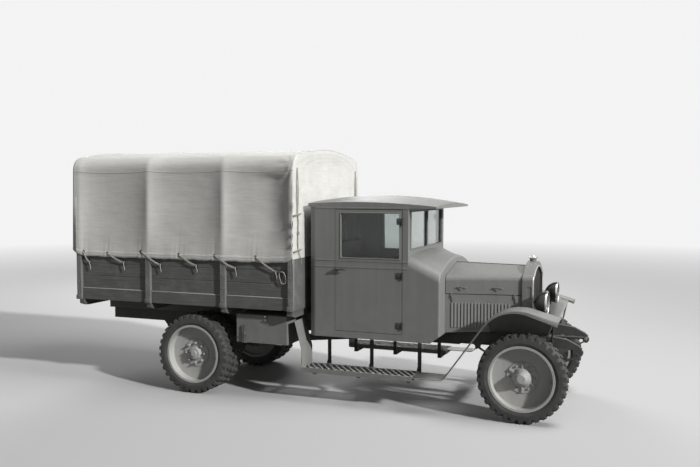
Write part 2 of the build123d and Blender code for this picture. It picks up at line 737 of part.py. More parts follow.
# Cab back with rounded rear corners and a small window
with BuildPart() as cab_back:
    with BuildSketch(Plane.XY.offset(cab_sill_z)):
        with Locations((cab_back_x + 200, 0)):
            RectangleRounded(400, 2 * cab_half_width, cab_corner_radius)
            RectangleRounded(400 - 2 * cab_wall, 2 * cab_inner_y, cab_corner_radius - cab_wall,
                             mode=Mode.SUBTRACT)
        with Locations((cab_back_x + cab_corner_radius + 300, 0)):
            Rectangle(600, 2 * cab_half_width + 10, mode=Mode.SUBTRACT)
    extrude(amount=cab_top_z - cab_sill_z)
    # Notch over the frame rails
    with BuildSketch(Plane.XY.offset(cab_sill_z)):
        with Locations((cab_back_x, 0)):
            Rectangle(2 * cab_corner_radius + 10, 2 * frame_half_width + 20)
    extrude(amount=frame_top_z - cab_sill_z, mode=Mode.SUBTRACT)
    with BuildSketch(Plane.YZ.offset(cab_back_x - 5)):
        with Locations((0, rear_window_z)):
            RectangleRounded(*rear_window, 40)
    extrude(amount=cab_wall + 10, mode=Mode.SUBTRACT)
save(cab_back.part, "cab_back")

# Cab sides: quarter panel, sill, door opening and screen pillar
with BuildPart() as cab_sides:
    side_rear_x = cab_back_x + cab_corner_radius
    with BuildSketch(Plane.XZ.offset(cab_inner_y)):
        with BuildLine():
            Polyline((side_rear_x, cab_sill_z), (screen_x, cab_sill_z), (screen_x, cab_top_z),
                     (side_rear_x, cab_top_z), close=True)
        make_face()
        with Locations(((door_rear_x + door_front_x) / 2, (door_bottom_z + door_top_z) / 2)):
            Rectangle(door_front_x - door_rear_x, door_top_z - door_bottom_z, mode=Mode.SUBTRACT)
    extrude(amount=cab_wall)
    with BuildSketch(Plane.XZ.offset(cab_half_width - 1)):
        for moulding_z in moulding_heights:
            with Locations(((side_rear_x + screen_x) / 2, moulding_z)):
                Rectangle(screen_x - side_rear_x, moulding_width)
        with Locations(((door_rear_x + door_front_x) / 2, (door_bottom_z + door_top_z) / 2)):
            Rectangle(door_front_x - door_rear_x, door_top_z - door_bottom_z, mode=Mode.SUBTRACT)
    extrude(amount=moulding_depth + 1)
    right_and_left()
save(cab_sides.part, "cab_sides")

# Doors with their window openings, hinge barrels at the front edge and a handle at the rear
hinge_radius = 9
hinge_length = 60
hinge_y = cab_half_width + hinge_radius + seat_gap
hinge_x = door_front_x + 4
handle_boss = 13
handle_reach = 42
handle_lever = 12
handle_length = 105
for side_name, side in sides:
    with BuildPart() as door:
        with BuildSketch(Plane(origin=(0, side * cab_half_width, 0), x_dir=(1, 0, 0), z_dir=(0, -1, 0))):
            with Locations(((door_rear_x + door_front_x) / 2, (door_bottom_z + door_top_z) / 2)):
                Rectangle(door_front_x - door_rear_x - 2 * panel_gap,
                          door_top_z - door_bottom_z - 2 * panel_gap)
            with Locations(((window_rear_x + window_front_x) / 2, (window_bottom_z + window_top_z) / 2)):
                RectangleRounded(window_front_x - window_rear_x, window_top_z - window_bottom_z, 12,
                                 mode=Mode.SUBTRACT)
        extrude(amount=side * cab_wall)
        for hinge_z in hinge_heights:
            with BuildSketch(Plane.XY.offset(hinge_z - hinge_length / 2)):
                with Locations((hinge_x, side * hinge_y)):
                    Circle(hinge_radius)
                with Locations((hinge_x - hinge_length / 2, side * (cab_half_width + 3))):
                    Rectangle(hinge_length, 6)
            extrude(amount=hinge_length)
        outer_face = Plane(origin=(0, side * cab_half_width, 0), x_dir=(1, 0, 0), z_dir=(0, side, 0))
        with BuildSketch(outer_face):
            for moulding_z in moulding_heights[:2]:
                with Locations(((door_rear_x + door_front_x) / 2, -side * moulding_z)):
                    Rectangle(door_front_x - door_rear_x - 2 * panel_gap, moulding_width)
        extrude(amount=moulding_depth)
        # Handle: a boss and a lever that points forward
        with BuildSketch(outer_face):
            with Locations((door_rear_x + handle_inset, -side * handle_z)):
                Circle(handle_boss)
        extrude(amount=handle_reach)
        with BuildSketch(outer_face.offset(handle_reach - handle_lever)):
            with Locations((door_rear_x + handle_inset + handle_length / 2 - handle_lever, -side * handle_z)):
                RectangleRounded(handle_length, handle_lever + 4, handle_lever / 2)
        extrude(amount=handle_lever)
    save(door.part, f"door_{side_name}")

    with BuildPart() as door_glass:
        with BuildSketch(Plane(origin=(0, side * (cab_half_width - cab_wall / 2), 0), x_dir=(1, 0, 0),
                               z_dir=(0, -1, 0))):
            with Locations(((window_rear_x + window_front_x) / 2, (window_bottom_z + window_top_z) / 2)):
                RectangleRounded(window_front_x - window_rear_x - 2 * seat_gap,
                                 window_top_z - window_bottom_z - 2 * seat_gap, 12 - seat_gap)
        extrude(amount=glass_thickness / 2, both=True)
    save(door_glass.part, f"door_glass_{side_name}")


def roof_face(x, edge_z, crown_z, half_width, bottom_z):
    """Roof section at one station: flat underside, short edge and crowned top."""
    with BuildSketch(Plane.YZ.offset(x)) as section:
        with BuildLine():
            Line((-half_width, bottom_z), (half_width, bottom_z))
            Line((half_width, bottom_z), (half_width, edge_z))
            ThreePointArc((half_width, edge_z), (0, crown_z), (-half_width, edge_z))
            Line((-half_width, edge_z), (-half_width, bottom_z))
        make_face()
    return section.sketch


visor_x = screen_x + visor_length
visor_tip_z = cab_top_z - 10
roof_sheet = 24
with BuildPart() as roof:
    loft([
        roof_face(cab_back_x, cab_top_z + 36, cab_top_z + 70, cab_half_width, visor_tip_z),
        roof_face(cab_back_x + 620, cab_top_z + 52, roof_crown_z + 6, cab_half_width, visor_tip_z),
        roof_face(visor_x, cab_top_z + 10, cab_top_z + 40, cab_half_width, visor_tip_z),
    ])
    # Flat seat on the cab walls, and the hollow under the crown
    with BuildSketch(Plane.XY.offset(cab_top_z)):
        with Locations((cab_back_x + cab_length / 2 - 50, 0)):
            Rectangle(cab_length + 100, 2 * cab_half_width + 20)
    extrude(amount=-60, mode=Mode.SUBTRACT)
    loft([
        roof_face(cab_back_x + cab_wall, cab_top_z + 14, cab_top_z + 50, cab_inner_y, cab_top_z - 20),
        roof_face(cab_back_x + 620, cab_top_z + 26, roof_crown_z - roof_sheet, cab_inner_y, cab_top_z - 20),
        roof_face(screen_x - cab_wall, cab_top_z + 14, cab_top_z + 62, cab_inner_y, cab_top_z - 20),
    ], mode=Mode.SUBTRACT)
save(roof.part, "roof")

# Windscreen frame and glass
with BuildPart() as windscreen_frame:
    with BuildSketch(Plane.YZ.offset(screen_x - cab_wall)):
        with Locations((0, (dash_bottom_z + cab_top_z) / 2)):
            Rectangle(2 * cab_inner_y, cab_top_z - dash_bottom_z)
        with Locations((-screen_half_width / 2, (screen_base_z + screen_top_z) / 2 + 15),
                       (screen_half_width / 2, (screen_base_z + screen_top_z) / 2 + 15)):
            Rectangle(screen_half_width - 24, screen_top_z - screen_base_z - 30, mode=Mode.SUBTRACT)
    extrude(amount=cab_wall)
save(windscreen_frame.part, "windscreen_frame")

with BuildPart() as windscreen_glass:
    with BuildSketch(Plane.YZ.offset(screen_x - cab_wall / 2)):
        with Locations((-screen_half_width / 2, (screen_base_z + screen_top_z) / 2 + 15),
                       (screen_half_width / 2, (screen_base_z + screen_top_z) / 2 + 15)):
            Rectangle(screen_half_width - 24 - 2 * seat_gap, screen_top_z - screen_base_z - 30 - 2 * seat_gap)
    extrude(amount=glass_thickness / 2, both=True)
save(windscreen_glass.part, "windscreen_glass")


def cowl_face(x, crown_z, shoulder_z, half_width, bottom_z, corner):
    """Cowl section: upright sides, rounded shoulders and an arched top."""
    with BuildSketch(Plane.YZ.offset(x)) as section:
        with BuildLine():
            Line((-half_width, bottom_z), (-half_width, shoulder_z - corner))
            arc_end = (-half_width + corner, shoulder_z)
            TangentArc((-half_width, shoulder_z - corner), arc_end, tangent=(0, 1))
            ThreePointArc(arc_end, (0, crown_z), (half_width - corner, shoulder_z))
            TangentArc((half_width, shoulder_z - corner), (half_width - corner, shoulder_z), tangent=(0, 1))
            Line((half_width, shoulder_z - corner), (half_width, bottom_z))
            Line((half_width, bottom_z), (-half_width, bottom_z))
        make_face()
    return section.sketch


with BuildPart() as cowl:
    loft([
        cowl_face(screen_x, screen_base_z, screen_base_z - 20, cab_half_width, cab_sill_z, cowl_corner),
        cowl_face(cowl_front_x, cowl_crown_z, cowl_shoulder_z, cab_half_width, cab_sill_z, cowl_corner),
    ], ruled=True)
    front_edges = cowl.edges().filter_by_position(Axis.X, cowl_front_x - 1, cowl_front_x + 1)
    fillet(front_edges.filter_by(lambda edge: edge.center().Z > cab_sill_z + 1), radius=cowl_edge_radius)
    loft([
        cowl_face(screen_x, screen_base_z - cowl_wall, screen_base_z - 20 - cowl_wall, cab_half_width - cowl_wall,
                  cab_sill_z - 5, cowl_corner - cowl_wall),
        cowl_face(cowl_front_x - cowl_wall, cowl_crown_z - cowl_wall, cowl_shoulder_z - cowl_wall,
                  cab_half_width - cowl_wall, cab_sill_z - 5, cowl_corner - cowl_wall),
    ], ruled=True, mode=Mode.SUBTRACT)
    # Passage for the frame and the gearbox, and the cut-away lower front corner
    with BuildSketch(Plane.YZ.offset(cowl_front_x - 60)):
        with Locations((0, cab_sill_z + (frame_top_z - cab_sill_z) / 2 - 5)):
            Rectangle(2 * frame_half_width + 20, frame_top_z - cab_sill_z + 10)
    extrude(amount=100, mode=Mode.SUBTRACT)
    with BuildSketch(Plane.XZ):
        with BuildLine():
            Polyline((cowl_front_x - 110, cab_sill_z - 10), (cowl_front_x + 10, cab_sill_z - 10),
                     (cowl_front_x + 10, cab_sill_z + 84), close=True)
        make_face()
    extrude(amount=cab_half_width + 10, both=True, mode=Mode.SUBTRACT)
save(cowl.part, "cowl")


def bonnet_face(x, half_width, top_z, shoulder_z, bottom_z):
    """Half section of the bonnet's upper sheet, on the right side."""
    edge = bonnet_rod_radius + seat_gap
    corner = 50
    with BuildSketch(Plane.YZ.offset(x)) as section:
        with BuildLine():
            Line((-edge, top_z), (-half_width + corner, shoulder_z + 22))
            TangentArc((-half_width, shoulder_z - corner + 10), (-half_width + corner, shoulder_z + 22),
                       tangent=(0, 1))
            Line((-half_width, shoulder_z - corner + 10), (-half_width, bottom_z))
            Line((-half_width, bottom_z), (-half_width + bonnet_sheet, bottom_z))
            Line((-half_width + bonnet_sheet, bottom_z), (-half_width + bonnet_sheet, shoulder_z - corner + 10))
            TangentArc((-half_width + bonnet_sheet, shoulder_z - corner + 10),
                       (-half_width + corner, shoulder_z + 22 - bonnet_sheet), tangent=(0, 1))
            Line((-half_width + corner, shoulder_z + 22 - bonnet_sheet), (-edge, top_z - bonnet_sheet))
            Line((-edge, top_z - bonnet_sheet), (-edge, top_z))
        make_face()
    return section.sketch


bonnet_rear_x = cowl_front_x + panel_gap
bonnet_end_x = bonnet_front_x - panel_gap
for side_name, side in sides:
    with BuildPart() as bonnet:
        loft([
            bonnet_face(bonnet_rear_x, bonnet_rear_half, bonnet_rear_top_z, bonnet_rear_shoulder_z,
                        bonnet_split_z + 3),
            bonnet_face(bonnet_end_x, bonnet_front_half, bonnet_front_top_z, bonnet_front_shoulder_z,
                        bonnet_split_z + 3),
        ], ruled=True)
        if side > 0:
            mirror(about=Plane.XZ, mode=Mode.REPLACE)
    save(bonnet.part, f"bonnet_{side_name}")

# Rod that the two halves hinge on, from the cowl to the radiator
with BuildPart() as bonnet_rod:
    rod_rear = Vector(cowl_front_x, 0, bonnet_rear_top_z)
    rod_front = Vector(bonnet_front_x, 0, bonnet_front_top_z)
    rod_dir = (rod_front - rod_rear).normalized()
    with BuildSketch(Plane(origin=rod_rear + rod_dir * seat_gap / 2, z_dir=rod_dir)):
        Circle(bonnet_rod_radius)
    extrude(amount=(rod_front - rod_rear).length - seat_gap)
save(bonnet_rod.part, "bonnet_rod")

# Lower side panels
with BuildPart() as bonnet_sides:
    for x, half_width, bottom_z in ((cowl_front_x, bonnet_rear_half, bonnet_rear_bottom_z),
                                    (bonnet_front_x, bonnet_front_half, bonnet_front_bottom_z)):
        with BuildSketch(Plane.YZ.offset(x)):
            with Locations((-half_width + bonnet_sheet / 2, (bottom_z + bonnet_split_z - 3) / 2)):
                Rectangle(bonnet_sheet, bonnet_split_z - 3 - bottom_z)
    loft(ruled=True)
    # Louvres: each is proud at its rear edge, where it opens, and runs out flush in front
    sheet_slope = (bonnet_rear_half - bonnet_front_half) / bonnet_length
    with BuildSketch(Plane.XY.offset(louvre_bottom_z)):
        for louvre in range(louvre_count):
            front_x = louvre_front_x - louvre * louvre_pitch
            front_y = -bonnet_rear_half + (front_x - cowl_front_x) * sheet_slope
            rear_y = front_y - louvre_length * sheet_slope
            with BuildLine():
                Polyline((front_x, front_y), (front_x - louvre_length / 2, rear_y - louvre_rise * 0.7),
                         (front_x - louvre_length, rear_y - louvre_rise), (front_x - louvre_length, rear_y + 2),
                         (front_x, front_y + 2), close=True)
            make_face()
    extrude(amount=louvre_top_z - louvre_bottom_z)
    right_and_left()
save(bonnet_sides.part, "bonnet_sides")


def radiator_face(x, inset):
    with BuildSketch(Plane.YZ.offset(x)) as section:
        half_width = radiator_half_width - inset
        shoulder = radiator_shoulder_z - inset / 2
        corner = 60
        with BuildLine():
            Line((-half_width, radiator_bottom_z + inset), (-half_width, shoulder - corner))
            TangentArc((-half_width, shoulder - corner), (-half_width + corner, shoulder), tangent=(0, 1))
            ThreePointArc((-half_width + corner, shoulder), (0, radiator_crown_z - inset),
                          (half_width - corner, shoulder))
            TangentArc((half_width, shoulder - corner), (half_width - corner, shoulder), tangent=(0, 1))
            Line((half_width, shoulder - corner), (half_width, radiator_bottom_z + inset))
            Line((half_width, radiator_bottom_z + inset), (-half_width, radiator_bottom_z + inset))
        make_face()
    return section.sketch


filler_radius = 34
filler_height = 50
flank_recess = (44, 130)
flank_recess_x = 70
flank_recess_z = 1191
flank_recess_depth = 6
with BuildPart() as radiator_shell:
    extrude(radiator_face(bonnet_front_x, 0), amount=radiator_depth)
    extrude(radiator_face(bonnet_front_x - 1, radiator_frame), amount=radiator_depth + 2, mode=Mode.SUBTRACT)
    with BuildSketch(Plane.XY.offset(radiator_crown_z - 12)):
        with Locations((bonnet_front_x + radiator_depth / 2, 0)):
            Circle(filler_radius)
    extrude(amount=filler_height)
    # Recess in each flank
    with BuildSketch(Plane.XZ.offset(radiator_half_width - flank_recess_depth)):
        with Locations((bonnet_front_x + flank_recess_x, flank_recess_z)):
            RectangleRounded(*flank_recess, 8)
    extrude(amount=flank_recess_depth + 1, mode=Mode.SUBTRACT)
    with BuildSketch(Plane.XZ.offset(-radiator_half_width - 1)):
        with Locations((bonnet_front_x + flank_recess_x, flank_recess_z)):
            RectangleRounded(*flank_recess, 8)
    extrude(amount=flank_recess_depth + 1, mode=Mode.SUBTRACT)
save(radiator_shell.part, "radiator_shell")

with BuildPart() as radiator_core:
    core_front_x = bonnet_front_x + radiator_depth - 16
    extrude(radiator_face(bonnet_front_x + 8, radiator_frame), amount=core_front_x - bonnet_front_x - 8)
    # Upright slots between the fins
    core_width = 2 * (radiator_half_width - radiator_frame)
    with BuildSketch(Plane.YZ.offset(core_front_x - core_slot_depth)):
        with Locations((0, (radiator_bottom_z + radiator_shoulder_z) / 2)):
            with GridLocations(core_width / core_slots, 0, core_slots - 1, 1):
                Rectangle(core_slot_width, radiator_shoulder_z - radiator_bottom_z - 3 * radiator_frame)
    extrude(amount=core_slot_depth + 1, mode=Mode.SUBTRACT)
save(radiator_core.part, "radiator_core")

# Engine with its mounts on the rails, gearbox and drive shaft
engine_half_width = 210
engine_bottom_z = 620
engine_height = 680
gearbox_z = 690
gearbox_width = 260
gearbox_height = 210
with BuildPart() as engine_block:
    with BuildSketch(Plane.XY.offset(engine_bottom_z)):
        with Locations(((cowl_front_x + 60 + bonnet_front_x - 120) / 2, 0)):
            Rectangle(bonnet_front_x - cowl_front_x - 180, 2 * engine_half_width)
    extrude(amount=engine_height)
    for mount_x in (cowl_front_x + 120, bonnet_front_x - 200):
        with BuildSketch(Plane.XY.offset(frame_top_z)):
            with Locations((mount_x, 0)):
                Rectangle(80, 2 * frame_half_width - 20)
        extrude(amount=30)
save(engine_block.part, "engine_block")

with BuildPart() as driveline:
    with BuildSketch(Plane.YZ.offset(gearbox_rear_x)):
        with Locations((0, gearbox_z)):
            RectangleRounded(gearbox_width, gearbox_height, 40)
    extrude(amount=gearbox_front_x - gearbox_rear_x)
    with BuildSketch(Plane(origin=axle_centre + shaft_dir * pinion_reach, z_dir=shaft_dir)):
        Circle(38)
    extrude(amount=(shaft_front - axle_centre).length - pinion_reach + 10)
save(driveline.part, "driveline")

# Exhaust: down pipe from the engine, silencer under the cab and a strap to its cross member
exhaust_y = 300
exhaust_z = 600
pipe_radius = 24
silencer_radius = 75
down_pipe_x = 1640
with BuildPart() as exhaust:
    with BuildSketch(Plane.YZ.offset(-900)):
        with Locations((exhaust_y, exhaust_z)):
            Circle(pipe_radius)
    extrude(amount=900 + down_pipe_x)
    with BuildSketch(Plane.YZ.offset(-100)):
        with Locations((exhaust_y, exhaust_z)):
            Circle(silencer_radius)
    extrude(amount=650)
    with BuildSketch(Plane.XY.offset(exhaust_z - pipe_radius)):
        with Locations((down_pipe_x, exhaust_y)):
            Circle(pipe_radius)
    extrude(amount=440)
    with BuildSketch(Plane.XZ.offset(-engine_half_width)):
        with Locations((down_pipe_x, exhaust_z - pipe_radius + 400)):
            Circle(pipe_radius)
    extrude(amount=-(exhaust_y - engine_half_width))
    with BuildSketch(Plane.XY.offset(exhaust_z + silencer_radius - 6)):
        with Locations((250, exhaust_y)):
            Rectangle(40, 40)
    extrude(amount=frame_bottom_z + rail_wall - exhaust_z - silencer_radius + 6)
save(exhaust.part, "exhaust")


fender_foot_x = 1485
fender_top = (2041, 1152)
fender_tip = (2582, 1003)
stay_x = 2470
stay_plate = 8
stay_radius = 9
stay_foot_radius = 20
stay_head_rise = 15


def fender_path():
    FilletPolyline((running_board_front_x, board_top_z), (fender_foot_x, board_top_z), fender_top, fender_tip,
                   radius=[60, 420])


with BuildPart() as fenders:
    with BuildSketch(Plane.XZ.offset(fender_inner_y)):
        with BuildLine():
            fender_path()
            offset(amount=fender_sheet, side=Side.RIGHT)
        make_face()
    extrude(amount=fender_half_width - fender_inner_y)
    with BuildSketch(Plane.XZ.offset(fender_half_width - fender_sheet)):
        with BuildLine():
            fender_path()
            offset(amount=fender_lip, side=Side.RIGHT)
        make_face()
    extrude(amount=fender_sheet)
    # Inner valance, sloping in from the sheet to the frame's outer edge
    valance_table = [
        # station, height at the fender's inner edge
        (1880, 925), (1960, 1000), (2060, 1060), (2180, 1080), (2330, 1066), (2530, 1012),
    ]
    valance_rise = 9
    valance_faces = []
    for x, top_z in valance_table:
        bonnet_y = bonnet_rear_half - (x - cowl_front_x) * (bonnet_rear_half - bonnet_front_half) / bonnet_length
        foot_y = max(frame_half_width, bonnet_y) + seat_gap
        with BuildSketch(Plane.YZ.offset(x), mode=Mode.PRIVATE) as valance_section:
            with BuildLine():
                Polyline((-fender_inner_y, top_z), (-foot_y, frame_top_z + valance_rise),
                         (-foot_y, frame_top_z), (-fender_inner_y, top_z - valance_rise), close=True)
            make_face()
        valance_faces.append(valance_section.sketch)
    loft(valance_faces, ruled=True)
    with BuildSketch(Plane.XZ.offset(frame_half_width - 10)):
        with BuildLine():
            Polyline((2440, 780), (2560, 780), (2560, 1030), (2532, 1030), close=True)
        make_face()
    extrude(amount=fender_inner_y - frame_half_width + 9, mode=Mode.SUBTRACT)
    # Front stay, from a foot on the rail's flank up to the sheet
    stay_foot = Vector(stay_x, -frame_half_width - stay_plate - 2, frame_top_z - 60)
    stay_head = Vector(stay_x + 50, -fender_inner_y - 20, fender_tip[1] + stay_head_rise)
    with BuildSketch(Plane.XZ.offset(frame_half_width + seat_gap)):
        with Locations((stay_x, frame_top_z - 60)):
            Circle(stay_foot_radius)
    extrude(amount=stay_plate)
    with BuildSketch(Plane(origin=stay_foot, z_dir=(stay_head - stay_foot).normalized())):
        Circle(stay_radius)
    extrude(amount=(stay_head - stay_foot).length)
    right_and_left()
save(fenders.part, "fenders")

# Running boards: a deep outer edge, diagonal slats and the splash sheet at the rear end
board_width = fender_half_width - running_board_inner_y
board_length = running_board_front_x - running_board_rear_x
board_centre = ((running_board_front_x + running_board_rear_x) / 2, -(fender_half_width + running_board_inner_y) / 2)
board_edge = 8
slat_pitch = 68
slat_width = 16
with BuildPart() as running_boards:
    with BuildSketch(Plane.XY.offset(board_top_z)):
        with Locations(board_centre):
            Rectangle(board_length, board_width)
            Rectangle(board_length - 2 * board_edge, board_width - 2 * board_edge, mode=Mode.SUBTRACT)
    extrude(amount=-running_board_depth)
    with BuildSketch(Plane.XY.offset(board_top_z)):
        with Locations(board_centre):
            with GridLocations(slat_pitch, 0, 20, 1):
                Rectangle(slat_width, 2 * board_width, rotation=35)
            Rectangle(board_length - board_edge, board_width - board_edge, mode=Mode.INTERSECT)
    extrude(amount=-22)
    with BuildSketch(Plane.XZ.offset(550)):
        with BuildLine():
            Polyline((running_board_rear_x, board_top_z - 40), (running_board_rear_x, board_top_z + 187),
                     (running_board_rear_x - 79, board_top_z + 477), (running_board_rear_x - 84, board_top_z + 476),
                     (running_board_rear_x - 5, board_top_z + 187), (running_board_rear_x - 5, board_top_z - 40),
                     close=True)
        make_face()
    extrude(amount=fender_half_width - 550)
    right_and_left()
save(running_boards.part, "running_boards")

# Carriers of the running boards, out from the rails, each with an upright against the rail
carrier_plate = 8
carrier_arm = 12
carrier_width = 40
carrier_gusset = 60
with BuildPart() as board_carriers:
    plate_y = frame_half_width + carrier_plate
    arm_top_z = board_top_z - running_board_depth
    for carrier_x in (running_board_rear_x + 120, running_board_rear_x + 600, running_board_front_x - 60):
        with BuildSketch(Plane.YZ.offset(carrier_x)):
            with BuildLine():
                Polyline((-frame_half_width, frame_bottom_z + 60), (-plate_y, frame_bottom_z + 60),
                         (-plate_y, arm_top_z + carrier_gusset), (-plate_y - carrier_gusset, arm_top_z),
                         (-fender_half_width + board_edge / 2, arm_top_z),
                         (-fender_half_width + board_edge / 2, arm_top_z - carrier_arm),
                         (-frame_half_width, arm_top_z - carrier_arm), close=True)
            make_face()
        extrude(amount=carrier_width)
    right_and_left()
save(board_carriers.part, "board_carriers")

# Tool box under the bed on the right, with a drop-down front lid
box_rear_x = -752
box_front_x = -165
box_bottom_z = 585
box_top_z = bearer_z
box_inner_y = 530
box_wall = 12
lid_hinge_radius = 7
lid_handle_inset = 93
lid_handle_z = 690
lid_handle_length = 172
latch_x = -406
lid_axis_y = fender_half_width + 2
lid_axis_z = box_bottom_z + panel_gap
with BuildPart() as toolbox:
    with BuildSketch(Plane.XZ.offset(box_inner_y)):
        with Locations(((box_rear_x + box_front_x) / 2, (box_bottom_z + box_top_z) / 2)):
            Rectangle(box_front_x - box_rear_x, box_top_z - box_bottom_z)
    extrude(amount=fender_half_width - box_inner_y - box_wall - seat_gap)
    with BuildSketch(Plane.XZ.offset(box_inner_y + box_wall)):
        with Locations(((box_rear_x + box_front_x) / 2, (box_bottom_z + box_top_z) / 2)):
            Rectangle(box_front_x - box_rear_x - 2 * box_wall, box_top_z - box_bottom_z - 2 * box_wall)
    extrude(amount=fender_half_width - box_inner_y, mode=Mode.SUBTRACT)
    # Brackets out from the frame rail
    for bracket_x in (box_rear_x + 60, box_front_x - 60):
        with BuildSketch(Plane.XZ.offset(frame_half_width)):
            with Locations((bracket_x, frame_bottom_z + 60)):
                Rectangle(40, 80)
        extrude(amount=box_inner_y - frame_half_width)
save(toolbox.part, "toolbox")

with BuildPart() as toolbox_lid:
    with BuildSketch(Plane.XZ.offset(fender_half_width - box_wall)):
        with Locations(((box_rear_x + box_front_x) / 2, (box_bottom_z + box_top_z) / 2)):
            Rectangle(box_front_x - box_rear_x, box_top_z - box_bottom_z - 2 * panel_gap)
    extrude(amount=box_wall)
    for hinge_x in (box_rear_x + 90, box_front_x - 90):
        with BuildSketch(Plane.YZ.offset(hinge_x - 30)):
            with Locations((-lid_axis_y, lid_axis_z)):
                Circle(lid_hinge_radius)
        extrude(amount=60)
    # Hasp at the top and a T-handle near the rear end
    with BuildSketch(Plane.XZ.offset(fender_half_width - 1)):
        with Locations((latch_x, box_top_z - 45)):
            RectangleRounded(36, 56, 6)
    extrude(amount=7)
    with BuildSketch(Plane.XZ.offset(fender_half_width - 1)):
        with Locations((latch_x, box_top_z - 50), (box_rear_x + lid_handle_inset, lid_handle_z)):
            Circle(9)
    extrude(amount=25)
    with BuildSketch(Plane.XZ.offset(fender_half_width + 14)):
        with Locations((box_rear_x + lid_handle_inset, lid_handle_z)):
            RectangleRounded(12, lid_handle_length, 5)
        with Locations((box_rear_x + lid_handle_inset, lid_handle_z - 28)):
            RectangleRounded(44, 12, 5)
    extrude(amount=10)
save(toolbox_lid.part, "toolbox_lid")

# Headlamps on a bar that stands on the frame rails
lamp_y = 437
lamp_z = 1114
lamp_front_x = 2431
lamp_radius = 112
lamp_recess = 14
lamp_depth = 130
lamp_wall = 12
bar_x = lamp_front_x - 81
bar_z = lamp_z - 130
with BuildPart() as headlamps:
    for side in (-1, 1):
        with BuildSketch(Plane(origin=(lamp_front_x, side * lamp_y, lamp_z), x_dir=(1, 0, 0),
                               z_dir=(0, -1, 0))) as lamp_section:
            with BuildLine():
                Polyline((-lamp_recess, lamp_radius - 18), (-lamp_recess, lamp_radius - 12),
                         (0, lamp_radius - 8), (2, lamp_radius), (-16, lamp_radius))
                ThreePointArc((-16, lamp_radius), (-96, 74), (-lamp_depth, 0))
                Line((-lamp_depth, 0), (lamp_wall - lamp_depth, 0))
                ThreePointArc((lamp_wall - lamp_depth, 0), (-88, 62), (-lamp_recess, lamp_radius - 18))
            make_face()
        revolve(lamp_section.sketch, axis=Axis((lamp_front_x, side * lamp_y, lamp_z), (1, 0, 0)))
        with BuildSketch(Plane.XY.offset(bar_z)):
            with Locations((bar_x, side * lamp_y)):
                Circle(14)
        extrude(amount=60)
        with BuildSketch(Plane.XY.offset(frame_top_z)):
            with Locations((bar_x, side * spring_y)):
                Circle(14)
        extrude(amount=bar_z - frame_top_z)
    with BuildSketch(Plane(origin=(bar_x, 0, bar_z), x_dir=(1, 0, 0), z_dir=(0, 1, 0))):
        Circle(16)
    extrude(amount=lamp_y + 30, both=True)
save(headlamps.part, "headlamps")

with BuildPart() as headlamp_glass:
    with BuildSketch(Plane.YZ.offset(lamp_front_x - lamp_recess + seat_gap)):
        with Locations((-lamp_y, lamp_z), (lamp_y, lamp_z)):
            Circle(lamp_radius - 12 - seat_gap)
    extrude(amount=5)
save(headlamp_glass.part, "headlamp_glass")

# Seat
seat_width = 1240
seat_box_height = 230
cushion_length = 480
cushion_height = 130
backrest_height = 480
with BuildPart() as seat_frame:
    with BuildSketch(Plane.XY.offset(frame_top_z + floor_sheet)):
        with Locations((cab_back_x + cab_wall + 260, 0)):
            Rectangle(cushion_length - 40, seat_width)
    extrude(amount=seat_box_height)
save(seat_frame.part, "seat_frame")

seat_z = frame_top_z + floor_sheet + seat_box_height + seat_gap
back_x = cab_back_x + cab_wall + seat_gap
back_z = seat_z + cushion_height + 10
with BuildPart() as seat_cushions:
    with BuildSketch(Plane.XY.offset(seat_z)):
        with Locations((cab_back_x + cab_wall + 60 + cushion_length / 2, 0)):
            RectangleRounded(cushion_length, seat_width, 40)
    extrude(amount=cushion_height)
    with BuildSketch(Plane.XZ.offset(-seat_width / 2)):
        with BuildLine():
            Polyline((back_x, back_z), (back_x + 130, back_z), (back_x + 80, back_z + backrest_height),
                     (back_x, back_z + backrest_height), close=True)
        make_face()
    extrude(amount=seat_width)
save(seat_cushions.part, "seat_cushions")

# Steering column with its box on the right rail
with BuildPart() as steering_column:
    with BuildSketch(Plane(origin=column_foot, z_dir=column_dir)):
        Circle(column_radius)
    extrude(amount=column_length)
    box_half = 50
    with BuildSketch(Plane.XY.offset(frame_bottom_z + rail_wall + 2)):
        with Locations((column_foot.X, -(frame_half_width - rail_wall) + 60)):
            Rectangle(2 * box_half, 120)
    extrude(amount=frame_depth - 2 * rail_wall - 4)
save(steering_column.part, "steering_column")

wheel_rim_radius = 215
with BuildPart() as steering_wheel:
    wheel_face = Plane(origin=wheel_centre, x_dir=(0, 1, 0), z_dir=column_dir)
    with BuildSketch(Plane(origin=wheel_centre, x_dir=wheel_face.x_dir, z_dir=wheel_face.y_dir)):
        with Locations((wheel_rim_radius, 0)):
            Circle(14)
    revolve(axis=Axis(wheel_centre, column_dir))
    with BuildSketch(wheel_face.offset(-hub_depth)):
        Circle(34)
    extrude(amount=hub_depth + 12)
    with BuildSketch(wheel_face.offset(-8)):
        with PolarLocations(0, 4):
            with Locations((wheel_rim_radius / 2, 0)):
                Rectangle(wheel_rim_radius, 20)
    extrude(amount=12)
save(steering_wheel.part, "steering_wheel")

# Gear lever and hand brake, standing on the floor
lever_table = [
    # x, y, height
    (820, -90, 420),
    (760, 10, 360),
]
with BuildPart() as control_levers:
    for lever_x, lever_y, lever_height in lever_table:
        with BuildSketch(Plane.XY.offset(frame_top_z + floor_sheet)):
            with Locations((lever_x, lever_y)):
                Circle(9)
        extrude(amount=lever_height)
        with Locations((lever_x, lever_y, frame_top_z + floor_sheet + lever_height)):
            Sphere(24)
save(control_levers.part, "control_levers")

